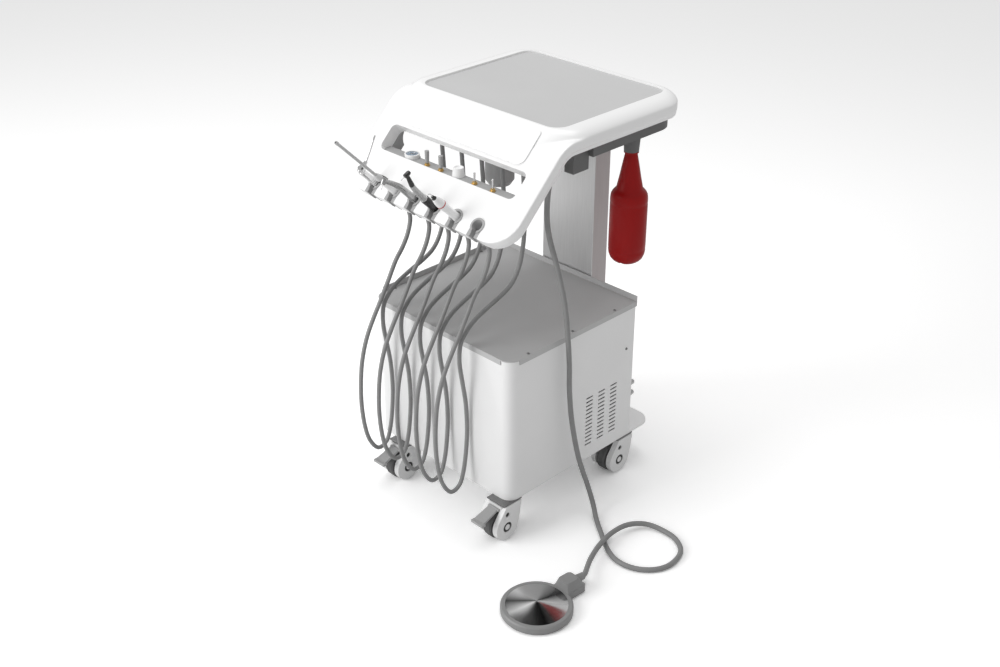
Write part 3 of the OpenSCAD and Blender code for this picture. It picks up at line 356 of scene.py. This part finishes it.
def pick(piece, kind, test):
    """Selects the edges that pass a test on their ends, or faces on middle and normal."""
    mode("OBJECT")
    bpy.context.tool_settings.mesh_select_mode = (False, kind == "EDGE", kind == "FACE")
    mesh = piece.data
    for group in (mesh.vertices, mesh.edges, mesh.polygons):
        group.foreach_set("select", [False] * len(group))
    if kind == "EDGE":
        for edge in mesh.edges:
            edge.select = test(*(mesh.vertices[i].co for i in edge.vertices))
    else:
        for face in mesh.polygons:
            face.select = test(face.center, face.normal)
    mode("EDIT")


def start(adder, name, **size):
    """Adds a primitive alone, with nothing else selected."""
    if bpy.context.object and bpy.context.object.mode != "OBJECT":
        mode("OBJECT")
    bpy.ops.object.select_all(action="DESELECT")
    adder(**size)
    piece = bpy.context.object
    piece.name = name
    bpy.ops.object.transform_apply(location=True, rotation=True, scale=True)
    return piece


def settle(piece):
    """Takes a piece in hand alone and writes its place and turn into its mesh."""
    bpy.ops.object.select_all(action="DESELECT")
    piece.select_set(True)
    bpy.context.view_layer.objects.active = piece
    bpy.ops.object.transform_apply(location=True, rotation=True, scale=True)


def smooth(degrees):
    """Smooths the piece in hand wherever its faces meet at less than an angle."""
    bpy.ops.object.shade_smooth_by_angle(angle=math.radians(degrees))


def outward():
    """Turns the faces of the piece in hand outwards and leaves edit mode."""
    mode("EDIT")
    bpy.ops.mesh.select_all(action="SELECT")
    bpy.ops.mesh.normals_make_consistent(inside=False)
    mode("OBJECT")


def waterfall(name, inset, upper, lower):
    """A layer of the bent slab between two depths below its outer face."""
    front = bend_at[0]
    run = panel_length * slope
    slab = start(bpy.ops.mesh.primitive_cube_add, name, size=1,
                 location=(middle[0], (front + rear_edge) / 2, slab_top - (upper + lower) / 2),
                 scale=(2 * (half_width - inset), rear_edge - front, lower - upper))
    pick(slab, "EDGE", lambda a, b: min(a.y, b.y) > rear_edge - hair and abs(a.x - b.x) < hair)
    bpy.ops.mesh.bevel(offset=rear_corner - inset, segments=14, affect="EDGES")
    pick(slab, "FACE", lambda at, normal: at.y < front + 10 * hair)
    bpy.ops.mesh.spin(steps=14, angle=math.radians(-45), center=(0, *bend_at), axis=(1, 0, 0))
    bpy.ops.mesh.extrude_region_move(TRANSFORM_OT_translate={"value": (0, -run, -run)})
    mode("OBJECT")
    low = min(v.co.z for v in slab.data.vertices) + (lower - upper) * slope + hair
    pick(slab, "EDGE", lambda a, b: max(a.z, b.z) < low and abs(a.x - b.x) < hair)
    bpy.ops.mesh.bevel(offset=low_corner - inset, segments=14, affect="EDGES")
    outward()
    return slab


def rounded_plate(name, x, y0, y1, z, front_r, rear_r, thick):
    """A flat plate with its own corner radii in front and behind."""
    plate = start(bpy.ops.mesh.primitive_cube_add, name, size=1,
                  location=(middle[0], (y0 + y1) / 2, z - thick / 2), scale=(2 * x, y1 - y0, thick))
    for radius, end in ((front_r, y0), (rear_r, y1)):
        pick(plate, "EDGE", lambda a, b: abs(a.z - b.z) > thick / 2 and abs(a.y - end) < hair
             and abs(abs(a.x - middle[0]) - x) < hair)
        bpy.ops.mesh.bevel(offset=radius, segments=12, affect="EDGES")
    outward()
    return plate


def join(pieces):
    """Makes one object of several, named after the first."""
    if len(pieces) == 1:
        return pieces[0]
    bpy.ops.object.select_all(action="DESELECT")
    for piece in pieces:
        piece.select_set(True)
    bpy.context.view_layer.objects.active = pieces[0]
    bpy.ops.object.join()
    return pieces[0]


def cut(piece, tool):
    """Takes a tool's shape out of a piece and removes the tool."""
    step = piece.modifiers.new("cut", "BOOLEAN")
    step.operation = "DIFFERENCE"
    step.solver = "MANIFOLD"
    step.object = tool
    bpy.context.view_layer.objects.active = piece
    bpy.ops.object.modifier_apply(modifier=step.name)
    bpy.data.objects.remove(tool, do_unlink=True)


def keep(piece, paint, body, slot, *nodes):
    """Finishes a piece: its material, the body it rides on and what it stands for."""
    piece.data.materials.clear()
    piece.data.materials.append(paint.material)
    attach(piece, body)
    if nodes:
        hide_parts(*nodes)


shell = waterfall("head_moulding", 0, 0, 0.020)
inner = waterfall("head_inner", 0.004, 0.010, 0.031)
crown = rim_top - slab_top
levels = []
for k in range(8):
    q = k / 7
    rise = crown * (1 - q ** 2.4)
    side = 0.041 * (1 - q) ** 1.15
    levels.append(rounded_plate(f"level_{k}", half_width - side,
                                bend_line - (crown - rise) + 0.004 * (1 - q) ** 3,
                                rear_edge - 0.018 * (1 - q), slab_top + rise,
                                0.039 + 0.033 * q, 0.046 + 0.030 * q, 0.001))
levels.append(rounded_plate("level_low", 0.2, -0.106 + middle[1], 0.25 + middle[1], 0.902,
                            0.03, 0.03, 0.001))
pillow = join(levels)
mode("EDIT")
bpy.ops.mesh.select_all(action="SELECT")
bpy.ops.mesh.convex_hull()
outward()
shell = join([shell, inner, pillow])
remesh = shell.modifiers.new("skin", "REMESH")
remesh.mode = "VOXEL"
remesh.voxel_size = 0.0024
soften = shell.modifiers.new("soften", "SMOOTH")
soften.factor = 0.5
soften.iterations = 6
thin = shell.modifiers.new("thin", "DECIMATE")
thin.ratio = 0.5
for step in ("skin", "soften", "thin"):
    bpy.ops.object.modifier_apply(modifier=step)
cut(shell, rounded_plate("tray_cut", 0.211, -0.060 + middle[1], 0.296 + middle[1], 0.960,
                         0.034, 0.034, 0.026))


def slope_block(name, x, high, low, deep, proud, radius):
    """A block square to the sloping panel, between two distances down it."""
    block = start(bpy.ops.mesh.primitive_cube_add, name, size=1,
                  location=(0, -(high + low) / 2, (proud - deep) / 2),
                  scale=(2 * x, low - high, proud + deep))
    pick(block, "EDGE", lambda a, b: abs(a.z - b.z) > (proud + deep) / 2)
    if radius:
        bpy.ops.mesh.bevel(offset=radius, segments=10, affect="EDGES")
    outward()
    tilt(block, 0)
    return block


def tilt(piece, across):
    """Puts a piece made flat, with the panel's bend line at y 0, on the slope."""
    piece.location = (middle[0] + across, bend_line, rim_top)
    piece.rotation_euler = (math.radians(45), 0, 0)
    settle(piece)


cut(shell, slope_block("window_cut", 0.206, 0.103, 0.167, 0.05, 0.02, 0.014))
holder_at = -0.242
notch_radius = 0.0153
for across in holders:
    notch = start(bpy.ops.mesh.primitive_cylinder_add, "notch", radius=notch_radius, depth=0.08,
                  vertices=48, location=(0, holder_at, -0.01))
    tilt(notch, across)
    cut(shell, notch)
    gap = start(bpy.ops.mesh.primitive_cube_add, "gap", size=1,
                location=(0, holder_at - 0.02, -0.01), scale=(2 * notch_radius, 0.040, 0.08))
    tilt(gap, across)
    cut(shell, gap)
settle(shell)
smooth(40)
keep(shell, shell_white, "stand", "head_white", "head_shell")

finish_node("cover_plate", shell_white)
finish_node("flow_knob", shell_white)
finish_node("pressure_gauge", shell_white)

pan_paint = Paint("dark grey moulding", Roughness=0.5)
pan_paint.drive("Base Color", pan_paint.tint(pan_paint.noise(30), grey(92), grey(102)))
pan_paint.bumps(pan_paint.noise(900), 0.2, 0.0003)
for node in ("head_pan", "bottle_cap", "hose_glands"):
    finish_node(node, pan_paint)

mat_paint = Paint("grey tray mat", Roughness=0.6)
mat_paint.drive("Base Color", mat_paint.tint(mat_paint.noise(5, 2), grey(186), grey(194)))
mat_paint.bumps(mat_paint.noise(1500), 0.15, 0.0003)
finish_node("tray_mat", mat_paint)

# ---- Valve panel ----
# A grey moulded liner behind the window carries the gauge, brass toggle valves and the
# flow knob. On the holder funnels the same grey is painted shade in the notches of the white holders.
liner_and_notch_shade = Paint("grey liner", Roughness=0.45)
liner_and_notch_shade.drive("Base Color", liner_and_notch_shade.tint(liner_and_notch_shade.noise(30), grey(158), grey(166)))
liner_and_notch_shade.bumps(liner_and_notch_shade.noise(900), 0.15, 0.0003)
# The grey given to holder_funnels is painted shade in the holder notches; the other parts here have this
# grey themselves.
for node in ("control_tray", "holder_funnels", "separator_cup", "toggle_1", "toggle_2"):
    finish_node(node, liner_and_notch_shade)
brass = Paint("polished brass", Metallic=1.0, Base_Color=(0.72, 0.5, 0.2, 1))
brass.drive("Roughness", brass.noise(300) * 0.2 + 0.12)
finish_node("toggle_bushes", brass)
chrome = Paint("polished chrome", Metallic=1.0, Base_Color=(*grey(215), 1))
chrome.drive("Roughness", chrome.noise(250) * 0.08 + 0.06)
for node in ("toggle_3", "toggle_4", "turbine_bur", "contra_bur"):
    finish_node(node, chrome)

# ---- Gauge dial ----
# A blue-grey disc sunk in the gauge's white bezel, with plain moulded marks round its
# edge and one black needle.
dial_paint = Paint("blue-grey dial", Roughness=0.25, Coat_Weight=0.6)
dial_paint.drive("Base Color", dial_paint.tint(dial_paint.noise(60, 2),
                                               (0.16, 0.22, 0.29), (0.2, 0.26, 0.33)))
low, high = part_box("pressure_gauge")
x, y, z = (low[0] + high[0]) / 2, (low[1] + high[1]) / 2, high[2] - 0.0015
dial = start(bpy.ops.mesh.primitive_cylinder_add, "dial", radius=0.0137, depth=0.0006,
             vertices=48, location=(x, y, z + 0.0003))
dial.data.materials.append(dial_paint.material)
marks = [dial]
mark_ring = 0.0115
for k in range(11):
    turn = math.radians(-45 + 27 * k)
    mark = start(bpy.ops.mesh.primitive_cube_add, "mark", size=1, scale=(0.0022, 0.0005, 0.0002),
                 rotation=(0, 0, turn),
                 location=(x + mark_ring * math.cos(turn), y + mark_ring * math.sin(turn), z + 0.0007))
    mark.data.materials.append(shell_white.material)
    marks.append(mark)
needle = start(bpy.ops.mesh.primitive_cone_add, "needle", radius1=0.0009, radius2=0.0003,
               depth=0.013, vertices=12, rotation=(0, math.radians(90), math.radians(25)),
               location=(x + 0.003, y + 0.0014, z + 0.0009))
needle.data.materials.append(black.material)
dial = join(marks + [needle])
dial.name = "gauge_dial"
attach(dial, "stand")

# ---- Instruments ----
# Five handpieces stand in the holders with their noses out: a chrome three-way syringe,
# a saliva ejector, a turbine, a motor with its contra-angle and a white scaler. Each is a
# turned body, so it is grown ring by ring from its coupling. Sizes are in millimetres.


def grown(name, paint, stations, sides=36):
    """A round bar through stations of (up, out, radius, lean in degrees)."""
    up, out, radius, lean = stations[0]
    bar = start(bpy.ops.mesh.primitive_circle_add, name, vertices=sides, radius=radius / 1000,
                fill_type="NGON", location=(0, up / 1000, out / 1000),
                rotation=(math.radians(lean), 0, 0))
    mode("EDIT")
    bpy.ops.mesh.select_all(action="SELECT")
    for after in stations[1:]:
        step = (0, (after[0] - up) / 1000, (after[1] - out) / 1000)
        bpy.ops.mesh.extrude_region_move(TRANSFORM_OT_translate={"value": step})
        heart = (0, after[0] / 1000, after[1] / 1000)
        size = after[2] / radius
        bpy.ops.transform.resize(value=(size, size, size), center_override=heart)
        if after[3] != lean:
            bpy.ops.transform.rotate(value=math.radians(lean - after[3]), orient_axis="X",
                                     center_override=heart)
        up, out, radius, lean = after
    outward()
    bar.data.materials.append(paint.material)
    return bar


edge_angle = 38


def rear(radius):
    """Stations of the part behind the holder, the same on every handpiece."""
    return [(0, -103, 6.2, 0), (0, -102.4, 6.5, 0), (0, -83, 6.5, 0), (0, -73, radius, 0),
            (0, -36, radius, 0), (0, -35, 9.7, 0), (0, -34.5, 10, 0), (0, -9, 10, 0)]


def place_in_holder(parts, name, across, body, node):
    """Joins the parts of a handpiece, sets them in their holder and finishes them."""
    piece = join(parts)
    piece.name = name
    piece.location = (0, holder_at, 0)
    settle(piece)
    tilt(piece, across)
    smooth(edge_angle)
    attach(piece, body)
    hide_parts(node)


satin = Paint("satin steel", Metallic=1.0)
satin.drive("Base Color", satin.tint(satin.noise(200), grey(150), grey(185)))
satin.drive("Roughness", satin.noise(500) * 0.15 + 0.2)
dark_steel = Paint("dark nickel", Metallic=0.9)
dark_steel.drive("Base Color", dark_steel.tint(dark_steel.noise(200), grey(52), grey(80)))
dark_steel.drive("Roughness", dark_steel.noise(500) * 0.15 + 0.2)
ivory = Paint("white handpiece", Roughness=0.3, Coat_Weight=0.2)
ivory.drive("Base Color", ivory.tint(ivory.noise(40, 2), grey(228), grey(238)))
pale_grip = Paint("pale grey grip", Roughness=0.4)
pale_grip.drive("Base Color", pale_grip.tint(pale_grip.noise(60, 2), grey(196), grey(208)))
clear_tube = Paint("clouded clear tube", Roughness=0.25, Coat_Weight=0.3)
clear_tube.drive("Base Color", clear_tube.tint(clear_tube.noise(90, 2), grey(176), grey(196)))
red_band = Paint("red band", Base_Color=(0.45, 0.012, 0.01, 1), Roughness=0.35)
red_band.bumps(red_band.noise(600), 0.05, 0.0002)

ribs = [(0, z, r, 0) for k in range(5)
        for z, r in ((-2 + 5 * k, 9.3 - 0.3 * k), (-1 + 5 * k, 8.5 - 0.2 * k),
                     (1 + 5 * k, 8.5 - 0.2 * k), (2 + 5 * k, 9.2 - 0.3 * k))]
barrel = grown("barrel", chrome, rear(8) + [(0, -7, 9.4, 0)] + ribs
               + [(0, 26, 7.6, 0), (0, 40, 7.4, 0), (0, 46, 8, 0), (0, 50, 8, 0), (0, 53, 6.5, 0),
                  (0, 54, 3, 0)])
head = grown("head", chrome, [(-5, 54, 5.2, -90), (-4.6, 54, 6.2, -90), (-2.4, 54, 6.5, -90),
                              (-2, 54, 7.4, -90), (-1.4, 54, 8, -90), (14, 54, 8, -90), (15, 54, 7.4, -90),
                              (15.5, 54, 5.6, -90), (17, 54, 5.5, -90), (17.2, 54, 4.9, -90),
                              (19, 54, 4.9, -90), (19.2, 54, 4.4, -90), (23, 54, 3.6, -90)])
nozzle = grown("nozzle", chrome, [(21, 54, 2.8, -76), (30, 56.4, 2.7, -74), (45, 60.6, 2.5, -72),
                                  (54, 63.4, 2.3, -74), (60, 66, 2.2, -78), (68, 68.6, 2.1, -82),
                                  (79, 70.7, 1.75, -84), (79.6, 70.8, 1.3, -84)], 20)
place_in_holder([barrel, head, nozzle], "syringe", holders[0], "stand",
                "syringe_body")
for side, node, body in ((-1, "syringe_air_button", "syringe_air"),
                         (1, "syringe_water_button", "syringe_water")):
    low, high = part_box(node)
    wide = (high[0] - low[0]) / 2 * 1000
    cap = grown("button", black, [(0, 0, wide, 0), (0, 5.2, wide, 0), (0, 6.0, wide - 0.4, 0),
                                  (0, 6.3, wide - 1.2, 0), (0, 6.1, wide - 1.8, 0)], 28)
    cap.location = (side * 0.004, holder_at + 0.004, 0.0543)
    settle(cap)
    tilt(cap, holders[0])
    smooth(edge_angle)
    cap.name = node + "_cap"
    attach(cap, body)
    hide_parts(node)

grip = grown("grip", ivory, rear(8) + [(0, -8, 9.6, 0), (0, 0, 9.2, 0), (0, 12, 8.6, 0), (0, 31, 8.3, 0),
                                       (0, 31.4, 7.9, 0), (0, 32.2, 7.9, 0), (0, 32.6, 8.4, 0),
                                       (0, 49.5, 8.4, 0)])
band = grown("band", dark_steel, [(0, 49.4, 8.3, 0), (0, 49.8, 9.2, 0), (0, 50.2, 9.4, 0), (0, 54.4, 9.4, 0),
                                  (0, 55, 9, 0), (0, 55.1, 7.6, 0)])
nose = grown("nose", pale_grip, [(0, 55, 7.6, 0), (0, 55.2, 8.2, 0), (0, 60, 7.9, 0), (0, 66, 6.6, 0),
                                 (0, 70.2, 5.5, 0), (0, 71, 5.1, 0), (0, 70.9, 3.7, 0)])
slide = start(bpy.ops.mesh.primitive_cube_add, "slide", size=1, location=(0, 0.0085, 0.0425),
              scale=(0.008, 0.004, 0.012))
mode("EDIT")
bpy.ops.mesh.select_all(action="SELECT")
bpy.ops.mesh.bevel(offset=0.0013, segments=3, affect="EDGES")
mode("OBJECT")
slide.data.materials.append(dark_steel.material)
place_in_holder([grip, band, nose, slide], "ejector", holders[1], "stand",
                "ejector_handle")
straw = grown("straw", clear_tube, [(0, 61.4, 3.1, 0), (0, 61.6, 3.4, 0), (0, 203, 3.4, 0),
                                    (0, 203.6, 3.7, 0), (0, 204.4, 4, 0), (0, 210.4, 4, 0),
                                    (0, 211.2, 3.6, 0), (0, 211.3, 2.6, 0), (0, 206, 2.4, 0),
                                    (0, 200, 2.2, 0)], 28)
place_in_holder([straw], "ejector_tube", holders[1], "stand", "ejector_straw")

lines = [(0, z, r, 0) for z, r in ((4, 8.1), (4.3, 7.8), (5.1, 7.8), (5.4, 8.1), (10, 8.0), (10.3, 7.7),
                                   (11.1, 7.7), (11.4, 8.0))]
body = grown("body", satin, rear(7.5) + [(0, -8, 9.4, 0), (0, -2, 8.2, 0)] + lines
             + [(0, 28, 7.6, 0), (0, 40, 7.3, 0), (-0.2, 50, 7.1, 4), (-1.1, 60, 6.6, 8), (-2.9, 71, 6, 12),
                (-5.2, 81, 5.4, 16), (-7.6, 89, 4.9, 19), (-10.6, 97.5, 4.3, 20), (-12.6, 103, 4, 20)])
drum = grown("drum", satin, [(-13 + q * 0.94, 103 + q * 0.342, r, -70) for q, r in
                             ((-6.5, 3.6), (-6.4, 4.6), (-5.6, 5.4), (3, 5.4), (3.3, 5.1), (3.8, 5.1),
                              (4.1, 5.4), (5.6, 5.3), (6.4, 4.7), (7.6, 4.6), (8.4, 4.1), (8.5, 2.6))])
place_in_holder([body, drum], "turbine", holders[2], "stand", "turbine_handpiece")

motor = grown("motor", dark_steel, rear(8) + [(0, -8, 9.7, 0), (0, 1.5, 9.2, 0), (0, 6, 9.2, 0),
                                              (0, 6.4, 8.7, 0), (0, 7.2, 8.7, 0), (0, 7.6, 9.2, 0),
                                              (0, 38, 9.2, 0), (0, 40, 8.8, 0), (0, 40.2, 7.9, 0)])
sleeve = grown("sleeve", satin, [(0, 40, 7.9, 0), (0, 41, 8.3, 0), (0, 43.6, 8.2, 0), (0, 44, 7.6, 0),
                                 (0.4, 55, 7.1, -2), (1.3, 68, 6.5, -4), (2.4, 78, 6, -8),
                                 (3.2, 84, 5.7, -14), (5, 91, 5.3, -18)])
neck = grown("neck", dark_steel, [(4.6, 90, 5.3, -18), (5.2, 91.4, 5.6, -18), (6, 93.8, 5.5, -18),
                                  (9, 102.6, 4.8, -18), (12, 111, 4.3, -18), (14.6, 118, 4, -18)])
drum = grown("drum", dark_steel, [(15 + q * 0.951, 119 - q * 0.309, r, -108) for q, r in
                                  ((-6.5, 3.4), (-6.4, 4.2), (-5.6, 5), (5.2, 5), (6.2, 4.6), (6.5, 4.2),
                                   (8, 4.2), (8.4, 3.8), (8.5, 2.4))])
place_in_holder([motor, sleeve, neck, drum], "contra_angle", holders[3], "stand",
                "contra_handpiece")

grip = grown("grip", ivory, rear(8) + [(0, -8, 9.9, 0), (0, 2.6, 9.2, 0), (0, 8, 8.9, 0), (0, 20, 8.4, 0),
                                       (0, 34, 8.6, 0), (0, 44, 9.3, 0), (0, 54, 10.0, 0), (0, 55, 10.1, 0)])
ring = grown("ring", red_band, [(0, 54.8, 9.9, 0), (0, 55, 10.2, 0), (0, 57.6, 10.2, 0), (0, 57.8, 9.9, 0)])
nose = grown("nose", ivory, [(0, 57.6, 9.9, 0), (0, 58, 10.1, 0), (0, 63, 9.8, 0), (0, 68, 9.1, 0),
                             (0, 76, 7.5, 0), (0, 82, 5.3, 0)])
tip = grown("tip", black, [(0, 81.5, 5, 0), (0, 82, 5.2, 0), (0, 83, 4.7, 0), (0, 90, 3.1, 0),
                           (0, 90.4, 1.6, 0)])
point = grown("point", chrome, [(0, 89.5, 1.5, 0), (0.6, 92.5, 1.3, -12), (1.6, 95, 1.1, -2),
                                (1.5, 97.6, 0.95, 22), (0, 100.4, 0.75, 32), (-2.6, 103.6, 0.5, 38)],
              16)
collar = grown("collar", satin, [(0, -9.5, 10, 0), (0, -9, 10.2, 0), (0, -5, 10.2, 0), (0, -4.4, 9.9, 0)])
place_in_holder([grip, ring, nose, tip, point, collar], "scaler", holders[4], "stand",
                "scaler_handpiece")

# ---- Bottle ----
# Water bottle under the right end of the head: blown from dark red plastic, with a
# five-lobed foot, two shallow rings and a long cone. It screws up into a black cap.
ruby = Paint("red bottle plastic", Roughness=0.35, Specular_IOR_Level=0.2)
ruby.drive("Base Color", ruby.tint(ruby.noise(16, 3, (1, 1, 0.3)),
                                   (0.27, 0.003, 0.003), (0.35, 0.005, 0.005)))
ruby.bumps(ruby.noise(500), 0.05, 0.0003)
low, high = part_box("water_bottle")
mouth_length = 24
neck = high[2] * 1000 - mouth_length
foot = neck - 262
flask = grown("bottle", ruby, [(0, z, r, 0) for z, r in (
    (foot + 3, 6), (foot + 1, 12), (foot, 20), (foot + 1, 26), (foot + 5, 32), (foot + 11, 37),
    (foot + 20, 40.6), (foot + 29, 41.8), (foot + 32, 41), (foot + 35, 41.8), (foot + 50, 42),
    (foot + 140, 42), (foot + 143, 41.2), (foot + 146, 42), (neck - 110, 41.9),
    (neck - 101, 40.8), (neck - 96, 38.6), (neck - 91, 34.6), (neck - 86, 29.6),
    (neck - 60, 24.2), (neck - 30, 18.6), (neck - 8, 14.2), (neck - 6, 13), (neck - 3.2, 13),
    (neck - 3, 16.4), (neck - 0.5, 16.5), (neck - 0.4, 13), (neck + mouth_length, 13),
    (neck + mouth_length - 0.1, 11.5), (neck - 6, 11.5), (neck - 12, 11))], 60)
petal_ring = 0.040
for petal in range(5):
    turn = math.radians(72 * petal)
    trough = start(bpy.ops.mesh.primitive_cylinder_add, "trough", radius=0.0062, depth=0.06,
                   vertices=32, rotation=(0, math.radians(72), turn),
                   location=(petal_ring * math.cos(turn), petal_ring * math.sin(turn),
                             (foot + 2) / 1000))
    cut(flask, trough)
flask.location = ((low[0] + high[0]) / 2, (low[1] + high[1]) / 2, 0)
settle(flask)
smooth(42)
flask.name = "bottle_red"
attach(flask, "bottle")
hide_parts("water_bottle")

# ---- Foot control ----
# A round grey moulded pedal with a hood for its hose, and a chrome disc pressed by the
# foot. Bright and dark wedges round the disc's middle are painted reflections in its colour.
pedal_paint = Paint("grey pedal moulding", Roughness=0.45)
pedal_paint.drive("Base Color", pedal_paint.tint(pedal_paint.noise(30), grey(132), grey(142)))
pedal_paint.bumps(pedal_paint.noise(900), 0.2, 0.0003)
finish_node("pedal_base", pedal_paint)
painted_reflection = Paint("spun chrome", Metallic=1.0, Roughness=0.12)
pedal_middle = (0.442 + middle[0], -0.344 + middle[1])
# Painted reflections: a radial ramp paints bright and dark grey wedges into the disc's colour round its
# middle.
centre = painted_reflection.node("ShaderNodeMapping", {}, {"Vector": painted_reflection.node("ShaderNodeTexCoord", {}, {}, out=3),
                                             "Location": (-pedal_middle[0], -pedal_middle[1], 0)})
angle = painted_reflection.node("ShaderNodeTexGradient", {"gradient_type": "RADIAL"}, {"Vector": centre}, out=1)
stops = [(0.0, 205), (0.1, 70), (0.2, 225), (0.3, 120), (0.42, 60), (0.52, 215), (0.62, 235),
         (0.72, 75), (0.84, 190), (1.0, 205)]
painted_reflection_wedges = painted_reflection.node("ShaderNodeValToRGB", {"stops": [(at, grey(level)) for at, level in stops]},
                  {"Fac": angle})
painted_reflection.drive("Base Color", painted_reflection_wedges)
painted_reflection.bumps(painted_reflection.noise(900), 0.04, 0.0002)
finish_node("pedal_disc", painted_reflection)

# ---- Casters ----
# Four swivel casters with white twin cheeks and dark treads; the front two have a grey
# brake pedal. Black caps sit in the round recesses at the axle and the swivel pin.
caster_white = Paint("white caster moulding", Roughness=0.35)
caster_white.drive("Base Color", caster_white.tint(caster_white.noise(30), grey(220), grey(230)))
tyre = Paint("dark tyre", Roughness=0.6)
tyre.drive("Base Color", tyre.tint(tyre.noise(60), grey(80), grey(95)))
for corner in ("fr", "fl", "rr", "rl"):
    finish_node(f"caster_hood_{corner}", caster_white)
    finish_node(f"caster_wheel_{corner}", tyre)
for corner in ("fr", "fl"):
    finish_node(f"brake_pedal_{corner}", liner_and_notch_shade)

hub_black = Paint("black hub", Roughness=0.35)
hub_black.drive("Base Color", hub_black.tint(hub_black.noise(80), grey(18), grey(30)))
pin_above_axle = 0.034
cap_depth = 0.0033
for corner in ("fr", "fl", "rr", "rl"):
    low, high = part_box(f"caster_hood_{corner}")
    wheel_low, wheel_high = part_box(f"caster_wheel_{corner}")
    axle = ((wheel_low[1] + wheel_high[1]) / 2, (wheel_low[2] + wheel_high[2]) / 2)
    caps = []
    for side, face in ((-1, low[0]), (1, high[0])):
        for up, radius in ((0, 12.6), (pin_above_axle, 5.6)):
            cap = grown("cap", hub_black, [(0, 0, radius, 0), (0, 1.4, radius, 0),
                                           (0, 2, radius - 0.6, 0), (0, 2.3, radius * 0.55, 0),
                                           (0, 1.9, radius * 0.4, 0)])
            cap.rotation_euler = (0, side * math.radians(90), 0)
            cap.location = (face - side * cap_depth, axle[0], axle[1] + up)
            settle(cap)
            caps.append(cap)
    hub = join(caps)
    hub.name = f"caster_hub_{corner}"
    smooth(edge_angle)
    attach(hub, f"hood_{corner}")
